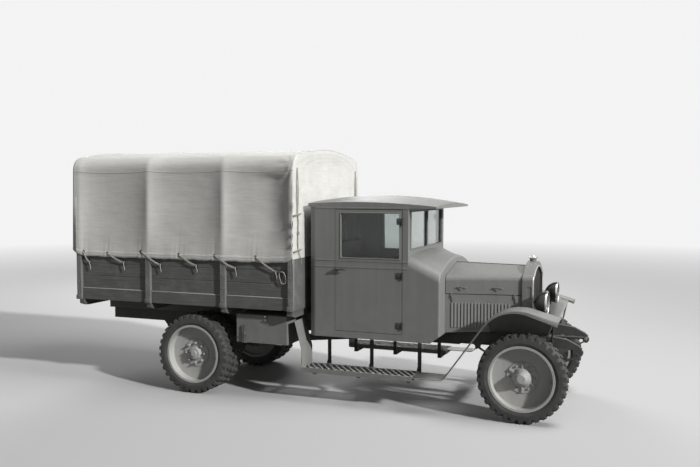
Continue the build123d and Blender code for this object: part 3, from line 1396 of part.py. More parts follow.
# Starting handle under the radiator
crank_rear_x = 2320
crank_front_x = 2763
crank_z = 720
crank_grip = 160
with BuildPart() as starting_handle:
    with BuildSketch(Plane.YZ.offset(crank_rear_x)):
        with Locations((0, crank_z)):
            Circle(13)
    extrude(amount=crank_front_x - crank_rear_x)
    with BuildSketch(Plane(origin=(crank_front_x, 0, crank_z), x_dir=(1, 0, 0), z_dir=(0, -1, 0))):
        Circle(15)
    extrude(amount=crank_grip)
save(starting_handle.part, "starting_handle")

# Hank of tie rope on the right-hand board's top plank, one outer shape
hank_y = board_half_width + seat_gap
hank_depth = 36
hank_x = -181
hank_top_z = 1372
with BuildPart() as rope_hank:
    with BuildSketch(Plane.XZ.offset(hank_y)):
        with BuildLine():
            Polyline((hank_x - 20, hank_top_z), (hank_x + 18, hank_top_z), (hank_x + 62, hank_top_z - 46),
                     (hank_x + 70, hank_top_z - 110), (hank_x + 44, hank_top_z - 140),
                     (hank_x - 40, hank_top_z - 140), (hank_x - 62, hank_top_z - 110),
                     (hank_x - 44, hank_top_z - 30), close=True)
        make_face()
    extrude(amount=hank_depth)
save(rope_hank.part, "rope_hank")
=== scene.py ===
import json
import math
import random

import bmesh
import bpy
from mathutils import Matrix, Vector, noise


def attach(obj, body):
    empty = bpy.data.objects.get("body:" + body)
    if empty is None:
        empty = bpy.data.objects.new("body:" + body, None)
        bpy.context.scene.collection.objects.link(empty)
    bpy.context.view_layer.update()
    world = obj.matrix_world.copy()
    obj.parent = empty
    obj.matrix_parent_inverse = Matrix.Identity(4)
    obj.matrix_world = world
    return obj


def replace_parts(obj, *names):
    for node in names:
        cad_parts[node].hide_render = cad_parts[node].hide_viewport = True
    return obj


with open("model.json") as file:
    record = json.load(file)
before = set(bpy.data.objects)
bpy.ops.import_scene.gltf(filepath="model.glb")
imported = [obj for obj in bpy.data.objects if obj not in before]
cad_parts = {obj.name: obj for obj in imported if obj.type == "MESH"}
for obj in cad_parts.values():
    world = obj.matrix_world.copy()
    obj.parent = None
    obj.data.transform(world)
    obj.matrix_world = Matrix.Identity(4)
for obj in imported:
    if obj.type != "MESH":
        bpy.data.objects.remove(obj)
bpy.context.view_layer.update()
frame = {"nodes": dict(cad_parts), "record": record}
cad = frame["nodes"]
random.seed(11)
sides = (("right", -1), ("left", 1))
print("frame loaded:", len(cad), "nodes")


# camera, floor and light: fade is where the floor turns into sky; soft lamps have a spot, a width and a power

camera = {"spot": (3.359, -8.220, 2.210), "yaw": 20.89, "pitch": -3.19, "roll": -0.06, "lens": 40.78,
          "sensor": 36.0, "reach": 200}
studio = {"floorRadius": 60, "floorTone": 0.47, "bounceTone": 0.14, "floorRough": 0.9, "fade": (7.0, 26.0),
          "skyTone": 0.9, "fillStrength": 0.08, "sunFrom": (0.85, -0.33, 0.43), "sunStrength": 3.7, "sunAngle": 3,
          "softTop": ((6.0, -0.5, 11.0), 7.0, 1050), "softBack": ((-5.0, 9.0, 6.0), 6.0, 620)}


def placed(name, data):
    made = bpy.data.objects.new(name, data)
    bpy.context.scene.collection.objects.link(made)
    return made


def meshOf(name, bm):
    mesh = bpy.data.meshes.new(name)
    bm.to_mesh(mesh)
    bm.free()
    return mesh


def makeCamera():
    data = bpy.data.cameras.new("photoView")
    data.lens, data.sensor_width, data.clip_end = camera["lens"], camera["sensor"], camera["reach"]
    eye = placed("photoView", data)
    eye.location = camera["spot"]
    eye.rotation_euler = [math.radians(a) for a in (90 + camera["pitch"], camera["roll"], camera["yaw"])]
    bpy.context.scene.camera = eye


def lamp(name, kind, away, **facts):
    # shines from the side that away names
    data = bpy.data.lights.new(name, kind)
    for key, value in facts.items():
        setattr(data, key, value)
    made = placed(name, data)
    made.rotation_euler = Vector(away).to_track_quat("Z", "Y").to_euler()
    return made


def makeStudio():
    bm = bmesh.new()
    bmesh.ops.create_circle(bm, cap_ends=True, segments=96, radius=studio["floorRadius"])
    floor = placed("floor", meshOf("floor", bm))
    mat, tree, bsdf = newMaterial("floorPale")
    away = node(tree, "ShaderNodeVectorMath", {0: objectSpot(tree)}, operation="LENGTH").outputs["Value"]
    direct = node(tree, "ShaderNodeLightPath", {}).outputs["Is Camera Ray"]
    tone = mixTone(tree, direct, (studio["bounceTone"],) * 3, (studio["floorTone"],) * 3)
    feed(tree, bsdf, {"Base Color": tone, "Roughness": studio["floorRough"]})
    sky = (*(studio["skyTone"],) * 3, 1)
    glow = node(tree, "ShaderNodeEmission", {"Color": sky, "Strength": 1.0})
    blend = node(tree, "ShaderNodeMixShader", {0: mapped(tree, away, studio["fade"], (0.0, 1.0)),
                                               1: bsdf.outputs[0], 2: glow.outputs[0]})
    tree.links.new(blend.outputs[0], tree.nodes["Material Output"].inputs["Surface"])
    floor.data.materials.append(mat)

    world = bpy.data.worlds.new("studio")
    bpy.context.scene.world = world
    world.use_nodes = True
    tree = world.node_tree
    tree.nodes.clear()
    path = node(tree, "ShaderNodeLightPath", {}).outputs
    seen = maths(tree, "MAXIMUM", path["Is Camera Ray"], path["Is Transmission Ray"])
    seen = maths(tree, "MAXIMUM", seen, path["Is Glossy Ray"])
    fill, back = [node(tree, "ShaderNodeBackground", {"Color": tone, "Strength": strength}).outputs[0]
                  for tone, strength in (((1, 1, 1, 1), studio["fillStrength"]), (sky, 1.0))]
    blend = node(tree, "ShaderNodeMixShader", {0: seen, 1: fill, 2: back})
    node(tree, "ShaderNodeOutputWorld", {"Surface": blend.outputs[0]})

    lamp("sun", "SUN", studio["sunFrom"], energy=studio["sunStrength"], angle=math.radians(studio["sunAngle"]))
    for name in ("softTop", "softBack"):
        spot, width, power = studio[name]
        lamp(name, "AREA", spot, shape="DISK", size=width, energy=power).location = spot
    bpy.context.scene.view_settings.view_transform = "Standard"


# node helpers

def newMaterial(name):
    mat = bpy.data.materials.new(name)
    mat.use_nodes = True
    return mat, mat.node_tree, mat.node_tree.nodes["Principled BSDF"]


def feed(tree, made, inputs):
    for key, value in inputs.items():
        if isinstance(value, bpy.types.NodeSocket):
            tree.links.new(value, made.inputs[key])
        else:
            made.inputs[key].default_value = value


def node(tree, kind, inputs, **settings):
    made = tree.nodes.new(kind)
    for key, value in settings.items():
        setattr(made, key, value)
    feed(tree, made, inputs)
    return made


def objectSpot(tree):
    return node(tree, "ShaderNodeTexCoord", {}).outputs["Object"]


def stretched(tree, scale):
    return node(tree, "ShaderNodeMapping", {"Vector": objectSpot(tree), "Scale": scale}).outputs[0]


def noiseAt(tree, scale, detail=4.0, rough=0.55, stretch=(1, 1, 1)):
    return node(tree, "ShaderNodeTexNoise", {"Vector": stretched(tree, stretch), "Scale": scale,
                                             "Detail": detail, "Roughness": rough}).outputs["Fac"]


def cells(tree, stretch, scale, loose=1.0):
    inputs = {"Vector": stretched(tree, stretch), "Scale": scale, "Randomness": loose}
    return node(tree, "ShaderNodeTexVoronoi", inputs, feature="DISTANCE_TO_EDGE").outputs["Distance"]


def ramp(tree, value, low, high):
    # low and high are each a place on the ramp and the grey there
    made = node(tree, "ShaderNodeValToRGB", {"Fac": value})
    for element, (spot, tone) in zip(made.color_ramp.elements, (low, high)):
        element.position, element.color = spot, (tone, tone, tone, 1)
    return made.outputs["Color"]


def patches(tree, grain, low, high):
    return ramp(tree, noiseAt(tree, *grain), (low, 0.0), (high, 1.0))


def mixTone(tree, share, low, high, way="MIX"):
    low = (*low, 1) if isinstance(low, tuple) else low
    high = (*high, 1) if isinstance(high, tuple) else high
    return node(tree, "ShaderNodeMix", {0: share, 6: low, 7: high}, data_type="RGBA", blend_type=way).outputs[2]


def tinted(tree, base, value, low, high):
    return mixTone(tree, 1.0, base, ramp(tree, value, low, high), "MULTIPLY")


def mapped(tree, value, before, after):
    names = ("From Min", "From Max", "To Min", "To Max")
    return node(tree, "ShaderNodeMapRange", {"Value": value, **dict(zip(names, (*before, *after)))}).outputs[0]


def maths(tree, way, a, b, clamp=False):
    return node(tree, "ShaderNodeMath", {0: a, 1: b}, operation=way, use_clamp=clamp).outputs[0]


def product(tree, a, b):
    return maths(tree, "MULTIPLY", a, b, True)


def bumps(tree, *layers):
    # each layer is a height, a strength and a distance
    inputs = {}
    for layer in layers:
        inputs.update(zip(("Height", "Strength", "Distance"), layer))
        inputs["Normal"] = node(tree, "ShaderNodeBump", inputs).outputs[0]
    return inputs["Normal"]


# finishes: all tones are linear colours

paints = {
    "bodyPaint": {"tone": (0.178, 0.180, 0.172), "dark": (0.150, 0.152, 0.145), "dust": (0.32, 0.315, 0.295),
                  "dustTop": 1.3, "dustShare": 0.32, "rough": 0.50},
    "chassisPaint": {"tone": (0.050, 0.050, 0.048), "dark": (0.026, 0.026, 0.025), "dust": (0.20, 0.195, 0.18),
                     "dustTop": 0.95, "dustShare": 0.45, "rough": 0.68},
    "wheelPaint": {"tone": (0.42, 0.42, 0.405), "dark": (0.33, 0.33, 0.315), "dust": (0.46, 0.45, 0.42),
                   "dustTop": 0.9, "dustShare": 0.6, "rough": 0.5},
    # a tone about twice the body's: partly worn paint, partly a painted highlight for the lit tops of the ledge irons
    # and board treads
    "wornPaint": {"tone": (0.36, 0.36, 0.345), "dark": (0.24, 0.24, 0.23), "dust": (0.42, 0.41, 0.385),
                  "dustTop": 0.9, "dustShare": 0.4, "rough": 0.42},
    "lampPaint": {"tone": (0.045, 0.045, 0.045), "dark": (0.028, 0.028, 0.028), "dust": (0.2, 0.2, 0.19),
                  "dustTop": 1.2, "dustShare": 0.2, "rough": 0.35},
    "exhaustRust": {"tone": (0.09, 0.075, 0.065), "dark": (0.045, 0.04, 0.037), "dust": (0.2, 0.19, 0.17),
                    "dustTop": 0.8, "dustShare": 0.4, "rough": 0.8},
    "castIron": {"tone": (0.075, 0.075, 0.073), "dark": (0.04, 0.04, 0.04), "dust": (0.18, 0.17, 0.16),
                 "dustTop": 1.2, "dustShare": 0.3, "rough": 0.7},
}


def paintFinish(name):
    facts = paints[name]
    dust, rough = facts["dust"], facts["rough"]
    mat, tree, bsdf = newMaterial(name)
    cloudy = noiseAt(tree, 3.1, 6, 0.6)
    base = mixTone(tree, cloudy, facts["dark"], facts["tone"])
    base = tinted(tree, base, noiseAt(tree, 1.0, 4, 0.6, (26, 26, 1.6)), (0.42, 0.96), (0.6, 1.03))
    height = node(tree, "ShaderNodeSeparateXYZ", {0: objectSpot(tree)}).outputs[2]
    low = mapped(tree, height, (0.35, facts["dustTop"]), (1.0, 0.0))
    dirty = product(tree, low, patches(tree, (7.0, 8, 0.7), 0.38, 0.72))
    base = mixTone(tree, product(tree, dirty, facts["dustShare"]), base, dust)
    chips = patches(tree, (90.0, 3, 0.5), 0.73, 0.76)
    base = mixTone(tree, product(tree, chips, 0.35), base, dust)
    normal = bumps(tree, (noiseAt(tree, 5.0, 2), 0.25, 0.006), (noiseAt(tree, 260.0, 2), 0.06, 0.001))
    feed(tree, bsdf, {"Base Color": base, "Normal": normal,
                      "Roughness": mapped(tree, cloudy, (0.0, 1.0), (rough - 0.08, rough + 0.14))})
    return mat


woods = {
    "boardPaint": {"tone": (0.105, 0.107, 0.100), "dark": (0.070, 0.071, 0.067), "bare": (0.25, 0.24, 0.21),
                   "stretch": (1.3, 26, 26), "bareShare": 0.44, "rough": 0.66},
    "postPaint": {"tone": (0.168, 0.169, 0.158), "dark": (0.110, 0.111, 0.104), "bare": (0.33, 0.31, 0.28),
                  "stretch": (26, 26, 1.6), "bareShare": 0.60, "rough": 0.66},
    "bareAsh": {"tone": (0.30, 0.255, 0.19), "dark": (0.17, 0.14, 0.10), "bare": (0.36, 0.32, 0.26),
                "stretch": (1.6, 22, 22), "bareShare": 0.70, "rough": 0.75},
}


def woodFinish(name):
    facts = woods[name]
    mat, tree, bsdf = newMaterial(name)
    grain = noiseAt(tree, 2.2, 10, 0.68, facts["stretch"])
    fine = noiseAt(tree, 7.0, 6, 0.7, facts["stretch"])
    base = mixTone(tree, ramp(tree, grain, (0.36, 0.0), (0.66, 1.0)), facts["dark"], facts["tone"])
    worn = product(tree, patches(tree, (6.5, 8, 0.72), 0.50, 0.70), fine)
    base = mixTone(tree, product(tree, worn, facts["bareShare"]), base, facts["bare"])
    base = tinted(tree, base, noiseAt(tree, 1.6, 4), (0.3, 0.86), (0.7, 1.08))
    feed(tree, bsdf, {"Base Color": base, "Roughness": facts["rough"],
                      "Normal": bumps(tree, (grain, 0.35, 0.0016), (fine, 0.25, 0.0007))})
    return mat


cloths = {"canvas": {"tone": (0.53, 0.525, 0.500), "dark": (0.44, 0.435, 0.41), "stain": (0.33, 0.32, 0.29)},
          "canvasHem": {"tone": (0.46, 0.455, 0.43), "dark": (0.37, 0.365, 0.345), "stain": (0.28, 0.27, 0.25)}}
weaving = {"threads": 460.0, "rough": 0.88, "sheen": 0.12, "sheenRough": 0.5}


def clothFinish(name):
    facts = cloths[name]
    mat, tree, bsdf = newMaterial(name)
    base = mixTone(tree, patches(tree, (1.7, 7, 0.62), 0.3, 0.7), facts["dark"], facts["tone"])
    base = tinted(tree, base, noiseAt(tree, 1.0, 5, 0.6, (5, 5, 60)), (0.35, 0.95), (0.65, 1.04))
    spots = patches(tree, (5.0, 8, 0.75), 0.60, 0.80)
    base = mixTone(tree, product(tree, spots, 0.30), base, facts["stain"])
    wave = {"Scale": weaving["threads"] / 6.3, "Distortion": 0.6, "Detail": 1.0}
    warp, weft = [node(tree, "ShaderNodeTexWave", {"Vector": stretched(tree, way), **wave},
                       bands_direction=axis).outputs["Fac"]
                  for way, axis in (((1, 0.2, 0), "X"), ((0, 0.6, 1), "Z"))]
    weave = maths(tree, "ADD", warp, weft)
    base = tinted(tree, base, weave, (0.2, 0.93), (1.0, 1.03))
    normal = bumps(tree, (noiseAt(tree, 1.0, 4, 0.6, (7, 9, 42)), 0.45, 0.004),
                   (noiseAt(tree, 14.0, 5), 0.25, 0.004), (weave, 0.30, 0.0006))
    feed(tree, bsdf, {"Base Color": base, "Roughness": weaving["rough"], "Sheen Weight": weaving["sheen"],
                      "Sheen Roughness": weaving["sheenRough"], "Normal": normal})
    return mat


metals = {"bareSteel": {"tone": (0.42, 0.42, 0.41), "dark": (0.24, 0.23, 0.22), "rough": 0.42},
          "nickel": {"tone": (0.72, 0.71, 0.69), "dark": (0.52, 0.51, 0.49), "rough": 0.2},
          "mirror": {"tone": (0.88, 0.88, 0.86), "dark": (0.74, 0.74, 0.72), "rough": 0.05},
          "brassCore": {"tone": (0.10, 0.095, 0.085), "dark": (0.045, 0.042, 0.04), "rough": 0.55}}
# the core's cells: cellShadeTone is painted shade inside each cell's opening, and the metal tone stays on the walls
# between them
coreCells = {"scale": 110.0, "loose": 0.12, "cellShadeTone": (0.012, 0.012, 0.012), "metallic": 0.6,
             "bump": (0.9, 0.004)}


def metalFinish(name):
    facts = metals[name]
    mat, tree, bsdf = newMaterial(name)
    cloudy = noiseAt(tree, 9.0, 6, 0.65)
    base, share = mixTone(tree, cloudy, facts["dark"], facts["tone"]), 1.0
    if name == "brassCore":
        # near-black painted shade in the middle of each cell, where the core's openings are; the metal tone is kept on
        # the walls
        wall = ramp(tree, cells(tree, (0, 1, 1), coreCells["scale"], coreCells["loose"]), (0.04, 1.0), (0.16, 0.0))
        base, share = mixTone(tree, wall, coreCells["cellShadeTone"], base), coreCells["metallic"]
        layer = (wall, *coreCells["bump"])
    else:
        layer = (noiseAt(tree, 120.0, 3), 0.12, 0.0008)
    feed(tree, bsdf, {"Base Color": base, "Metallic": share, "Normal": bumps(tree, layer),
                      "Roughness": mapped(tree, cloudy, (0.0, 1.0), (facts["rough"], facts["rough"] + 0.25))})
    return mat


# cloud and grain are noises, each with its scale and detail; bump is the grain's strength and distance

plains = {
    "blackRim": {"material": "blackRubberRim", "cloud": (12.0, 4), "dark": (0.012, 0.012, 0.012),
                 "tone": (0.035, 0.034, 0.033), "rough": 0.32, "grain": (90.0, 2), "bump": (0.08, 0.0008)},
    "frosted": {"material": "frostedBulb", "cloud": (30.0, 3), "dark": (0.70, 0.70, 0.66),
                "tone": (0.82, 0.82, 0.79), "rough": 0.25, "grain": (500.0, 2), "bump": (0.1, 0.0004)},
    "dial": {"material": "dialFace", "cloud": (60.0, 4), "dark": (0.55, 0.54, 0.49),
             "tone": (0.68, 0.67, 0.62), "rough": 0.3, "grain": (200.0, 2), "bump": (0.05, 0.0004)},
    "rope": {"material": "hempRope", "cloud": (40.0, 5), "dark": (0.20, 0.19, 0.165),
             "tone": (0.38, 0.365, 0.33), "rough": 0.9, "grain": (300.0, 3), "bump": (0.5, 0.001)},
}
glow = {"frosted": 0.2}


def plainFinish(name):
    facts = plains[name]
    mat, tree, bsdf = newMaterial(facts["material"])
    base = mixTone(tree, noiseAt(tree, *facts["cloud"]), facts["dark"], facts["tone"])
    normal = bumps(tree, (noiseAt(tree, *facts["grain"]), *facts["bump"]))
    feed(tree, bsdf, {"Base Color": base, "Roughness": facts["rough"], "Normal": normal,
                      "Subsurface Weight": glow.get(name, 0.0)})
    return mat


rubber = {"tone": (0.040, 0.040, 0.039), "dust": (0.15, 0.145, 0.135), "dustShare": 0.35, "rough": 0.78}


def rubberFinish():
    mat, tree, bsdf = newMaterial("tyreRubber")
    dusty = product(tree, patches(tree, (9.0, 8, 0.7), 0.40, 0.75), rubber["dustShare"])
    feed(tree, bsdf, {"Base Color": mixTone(tree, dusty, rubber["tone"], rubber["dust"]),
                      "Roughness": rubber["rough"],
                      "Normal": bumps(tree, (noiseAt(tree, 60.0, 5), 0.25, 0.0015))})
    return mat


leather = {"tone": (0.055, 0.045, 0.038), "worn": (0.13, 0.11, 0.09), "wornShare": 0.6, "rough": 0.5}


def leatherFinish():
    mat, tree, bsdf = newMaterial("seatLeather")
    worn = product(tree, patches(tree, (6.0, 6, 0.65), 0.45, 0.75), leather["wornShare"])
    normal = bumps(tree, (cells(tree, (1, 1, 1), 320.0), 0.35, 0.0008), (noiseAt(tree, 25.0, 3), 0.2, 0.002))
    feed(tree, bsdf, {"Base Color": mixTone(tree, worn, leather["tone"], leather["worn"]),
                      "Roughness": leather["rough"], "Normal": normal})
    return mat


glass = {"tone": (0.62, 0.66, 0.65, 1), "index": 1.45}


def glassFinish():
    mat, tree, bsdf = newMaterial("windowGlass")
    smear = ramp(tree, noiseAt(tree, 4.0, 6, 0.7), (0.45, 0.02), (0.8, 0.12))
    feed(tree, bsdf, {"Base Color": glass["tone"], "Transmission Weight": 1.0, "IOR": glass["index"],
                      "Roughness": smear})
    return mat


finishes = {name: make(name) for table, make in ((paints, paintFinish), (woods, woodFinish), (cloths, clothFinish),
                                                 (metals, metalFinish), (plains, plainFinish)) for name in table}
finishes.update(rubber=rubberFinish(), leather=leatherFinish(), glass=glassFinish())
print("finishes made:", len(finishes))

slotFinish = {"body_paint": "bodyPaint", "chassis_paint": "chassisPaint", "wheel_paint": "wheelPaint",
              "painted_wood": "boardPaint", "bare_wood": "bareAsh", "canvas": "canvas", "tyre": "rubber",
              "glass": "glass", "radiator_core": "brassCore", "cast_iron": "castIron",
              "exhaust_steel": "exhaustRust", "leather": "leather", "black_rim": "blackRim",
              "bare_steel": "bareSteel", "rope": "rope"}
nodeFinish = {"bed_posts": "postPaint", "headboard": "boardPaint", "headlamps": "lampPaint"}
slotOfFinish = {finish: slotName for slotName, finish in slotFinish.items()}
slotOfFinish.update(postPaint="painted_wood", wornPaint="body_paint", lampPaint="body_paint", canvasHem="canvas",
                    nickel="bare_steel", mirror="bare_steel", frosted="glass", dial="body_paint")
cadEdge = {"weld": 0.00002, "flat": 0.5, "bevel": 0.0016, "corner": 35}


def dressCad():
    slots = {row["node"]: row["material_slot"] for row in frame["record"]["subparts"]}
    for name, piece in cad.items():
        piece.data.materials.clear()
        piece.data.materials.append(finishes[nodeFinish.get(name, slotFinish[slots[name]])])
        piece.data.polygons.foreach_set("use_smooth", [True] * len(piece.data.polygons))
        piece.modifiers.new("weld", "WELD").merge_threshold = cadEdge["weld"]
        flat = piece.modifiers.new("flat", "DECIMATE")
        flat.decimate_type, flat.angle_limit = "DISSOLVE", math.radians(cadEdge["flat"])
        if "glass" not in name:
            edge = piece.modifiers.new("edge", "BEVEL")
            edge.width, edge.segments, edge.limit_method = cadEdge["bevel"], 2, "ANGLE"
            edge.angle_limit, edge.harden_normals = math.radians(cadEdge["corner"]), False
        piece.modifiers.new("even", "WEIGHTED_NORMAL").keep_sharp = True
    print("CAD nodes dressed")


# mesh helpers

def carried(piece, finish, body="chassis"):
    piece.data.materials.append(finishes[finish])
    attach(piece, body)
    return piece


def newPiece(name, bm, finish, body="chassis", sharp=0.6):
    bmesh.ops.recalc_face_normals(bm, faces=bm.faces)
    for face in bm.faces:
        face.smooth = True
    for edge in bm.edges:
        if len(edge.link_faces) == 2 and edge.calc_face_angle(0) > sharp:
            edge.smooth = False
    return carried(placed(name, meshOf(name, bm)), finish, body)


def thinPiece(name, bm, finish, thickness, offset):
    # a sheet with no sharp edges, given its thickness
    piece = newPiece(name, bm, finish, sharp=3.0)
    solid = piece.modifiers.new("thick", "SOLIDIFY")
    solid.thickness, solid.offset = thickness, offset
    return piece


def drop(bm, part, place=Matrix()):
    # the scratch mesh part goes into bm at that place
    mesh = meshOf("scratch", part)
    mesh.transform(place)
    bm.from_mesh(mesh)
    bpy.data.meshes.remove(mesh)


def at(x, y, z):
    return Matrix.Translation((x, y, z))


def turned(degrees, axis):
    return Matrix.Rotation(math.radians(degrees), 4, axis)


def ring(count, radius, start=0.0, squash=1.0):
    turns = [math.radians(start + 360 / count * number) for number in range(count)]
    return [(radius * math.cos(a), radius * squash * math.sin(a)) for a in turns]


def gridOf(columns, rows, spot):
    # a grid whose vertices are placed by the function spot, which gets -1 to 1 both ways
    part = bmesh.new()
    bmesh.ops.create_grid(part, x_segments=columns, y_segments=rows, size=1)
    for vert in part.verts:
        vert.co = spot(vert.co.x, vert.co.y)
    return part


def bevelled(part, offset, segments):
    bmesh.ops.bevel(part, geom=part.edges[:], offset=offset, segments=segments, profile=0.5, affect="EDGES",
                    clamp_overlap=True, material=-1)


def block(bm, size, place=Matrix(), bevel=0.0, segments=2):
    part = bmesh.new()
    bmesh.ops.create_cube(part, size=1, matrix=Matrix.Diagonal((*size, 1)))
    if bevel:
        bevelled(part, bevel, segments)
    drop(bm, part, place)


def rod(bm, start, end, radius, endRadius=None, segments=16):
    start, end = Vector(start), Vector(end)
    turn = (end - start).to_track_quat("Z", "Y").to_matrix().to_4x4()
    bmesh.ops.create_cone(bm, cap_ends=True, segments=segments, radius1=radius,
                          radius2=radius if endRadius is None else endRadius, depth=(end - start).length,
                          matrix=Matrix.Translation((start + end) / 2) @ turn)


def ball(bm, spot, radius, segments=12, rings=8):
    bmesh.ops.create_uvsphere(bm, u_segments=segments, v_segments=rings, radius=radius, matrix=at(*spot))


def beadFrame(bm, corners, radius):
    for start, end in zip(corners, corners[1:] + corners[:1]):
        rod(bm, start, end, radius, segments=12)
        ball(bm, start, radius)


def spun(bm, outline, place=Matrix(), steps=48, closed=False):
    # outline is (radius, height) pairs, turned about the height axis
    part = bmesh.new()
    verts = [part.verts.new((radius, 0, height)) for radius, height in outline]
    loop = verts + verts[:1] if closed else verts
    edges = [part.edges.new(pair) for pair in zip(loop, loop[1:])]
    bmesh.ops.spin(part, geom=verts + edges, cent=(0, 0, 0), axis=(0, 0, 1), angle=2 * math.pi, steps=steps,
                   use_merge=True, use_duplicate=False)
    bmesh.ops.remove_doubles(part, verts=part.verts, dist=1e-6)
    drop(bm, part, place)


def nut(bm, spot, facing, across=0.019, depth=0.011, stud=0.006):
    spot, facing = Vector(spot), Vector(facing).normalized()
    rod(bm, spot - facing * 0.002, spot + facing * depth, across / 2 * 1.12, across / 2, segments=6)
    if stud:
        rod(bm, spot + facing * depth * 0.5, spot + facing * depth * 1.5, stud, segments=10)


def rivet(bm, spot, facing, radius=0.006):
    spot, facing = Vector(spot), Vector(facing).normalized()
    rod(bm, spot - facing * radius * 0.2, spot + facing * radius * 0.45, radius, radius * 0.55, segments=10)


def tube(name, routes, radius, finish, resolution=3):
    # each route is a list of points and becomes one smooth spline of a single curve
    data = bpy.data.curves.new(name, "CURVE")
    data.dimensions = "3D"
    data.bevel_depth, data.bevel_resolution, data.use_fill_caps = radius, resolution, True
    data.resolution_u = 6
    for route in routes:
        spline = data.splines.new("NURBS")
        spline.points.add(len(route) - 1)
        for point, spot in zip(spline.points, route):
            point.co = (*spot, 1)
        spline.order_u = 3
        spline.use_endpoint_u = True
    return carried(placed(name, data), finish)


# tyres: carcass profile, lugs and centre blocks

tyre = {"radius": 0.4275, "tread": 0.4150, "halfWidth": 0.0872, "beadRadius": 0.3005, "lugs": 34,
        "lugLength": 0.048, "lugInner": 0.024, "lugDrop": 0.034, "centreTurn": 26}
axle = {"z": 0.428, "frontX": 2.238, "frontY": 0.703, "rearX": -1.262, "rearY": 0.814, "innerY": 0.614}


def tyreCarcass(bm, place):
    half, tread = tyre["halfWidth"], tyre["tread"]
    side = [(tyre["beadRadius"], 0.0700), (0.3110, 0.0710), (0.3190, 0.0755), (0.3215, 0.0800), (0.3260, 0.0812),
            (0.3300, 0.0838), (0.3450, half - 0.0012), (0.3485, half), (0.3520, half - 0.0010), (0.3640, half),
            (0.3780, half - 0.0006), (0.3900, 0.0838), (0.4010, 0.0775), (0.4090, 0.0680), (tread, 0.0480),
            (tread + 0.0012, 0.0)]
    spun(bm, side + [(radius, -offset) for radius, offset in reversed(side[:-1])], place @ turned(90, "X"), 72)


def tyreRing(bm, corner, place, bevel):
    # one block, its corners moved by the corner function, then copied round the wheel's axis
    part, count = bmesh.new(), tyre["lugs"]
    for vert in bmesh.ops.create_cube(part, size=2)["verts"]:
        vert.co = corner(*vert.co)
    bevelled(part, bevel, 1)
    bmesh.ops.spin(part, geom=part.verts[:] + part.edges[:] + part.faces[:], cent=(0, 0, 0), axis=(0, 1, 0),
                   angle=2 * math.pi * (count - 1) / count, steps=count - 1, use_duplicate=True)
    drop(bm, part, place)


def lugCorner(side):
    def corner(x, y, z):
        outer, high = y * side > 0, z > 0
        offset = tyre["halfWidth"] - (0.0050 if high else 0.0006) if outer else tyre["lugInner"]
        radius = tyre["radius"] - (0.0070 if outer else 0.0) if high else \
            tyre["tread"] - (tyre["lugDrop"] if outer else 0.004)
        reach = tyre["lugLength"] / 2 * (1.0 if outer else 0.84) * (0.84 if high else 1.0)
        return x * reach, side * offset, radius
    return corner


def centreCorner(x, y, z):
    turn = math.radians(tyre["centreTurn"])
    x, y = x * (0.021 if z > 0 else 0.025), y * 0.0165
    return (x * math.cos(turn) - y * math.sin(turn), x * math.sin(turn) + y * math.cos(turn),
            tyre["radius"] if z > 0 else tyre["tread"] - 0.003)


def wholeTyre(bm, x, y):
    place, pitch = at(x, y, axle["z"]), 360 / tyre["lugs"]
    tyreCarcass(bm, place)
    tyreRing(bm, lugCorner(-1), place, 0.0030)
    tyreRing(bm, lugCorner(1), place @ turned(pitch / 2, "Y"), 0.0030)
    tyreRing(bm, centreCorner, place @ turned(pitch / 4, "Y"), 0.0022)


def makeTyres():
    for name, side in sides:
        for piece, body, cadNode, x, spots in (
                ("frontTyre", "wheel_front", "tyre_front", axle["frontX"], (axle["frontY"],)),
                ("rearTyres", "wheels_rear", "tyres_rear", axle["rearX"], (axle["rearY"], axle["innerY"]))):
            bm = bmesh.new()
            for y in spots:
                wholeTyre(bm, x, side * y)
            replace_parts(newPiece(f"{piece}_{name}", bm, "rubber", f"{body}_{name}"), f"{cadNode}_{name}")
    print("tyres made")


# canvas tilt: one sheet over the bows, and a curtain in front; a ruffle has a height, half a width and a depth

tilt = {"rearX": -2.776, "frontX": -0.0350, "bows": (-2.705, -1.783, -0.850, -0.064), "endRise": 0.064,
        "endReach": 0.055, "sideSag": 0.058, "topSag": 0.014, "thick": 0.003, "bowHalf": 0.021, "pull": 0.150,
        "columns": 190, "rows": 160, "inset": 0.0015, "roofHalf": 0.790, "roofZ": 2.570, "crownRise": 0.078,
        "cornerY": 0.932, "cornerZ": 2.545, "wallY": 0.935, "wallZ": 2.410, "wallDrop": 0.955, "wallLean": 0.0245,
        "hollow": 0.026, "pucker": 0.0115, "puckerZ": 2.470,
        "ruffles": ((2.040, 0.085, 0.016), (1.855, 0.060, 0.026), (1.745, 0.040, 0.024), (1.640, 0.045, 0.024))}
roofShare, wallShare = 0.40, 0.518
tieEyes = [(-2.642, 1.501), (-2.327, 1.494), (-1.869, 1.529), (-1.403, 1.504), (-0.949, 1.506), (-0.471, 1.505)]
tieHooks = [(-2.571, 1.382), (-2.109, 1.392), (-1.631, 1.383), (-1.181, 1.390), (-0.709, 1.382), (-0.238, 1.360)]


def clamped(value, low=0.0, high=1.0):
    return min(high, max(low, value))


def crownZ(y):
    return tilt["roofZ"] + tilt["crownRise"] * (1 - (y / tilt["roofHalf"]) ** 2)


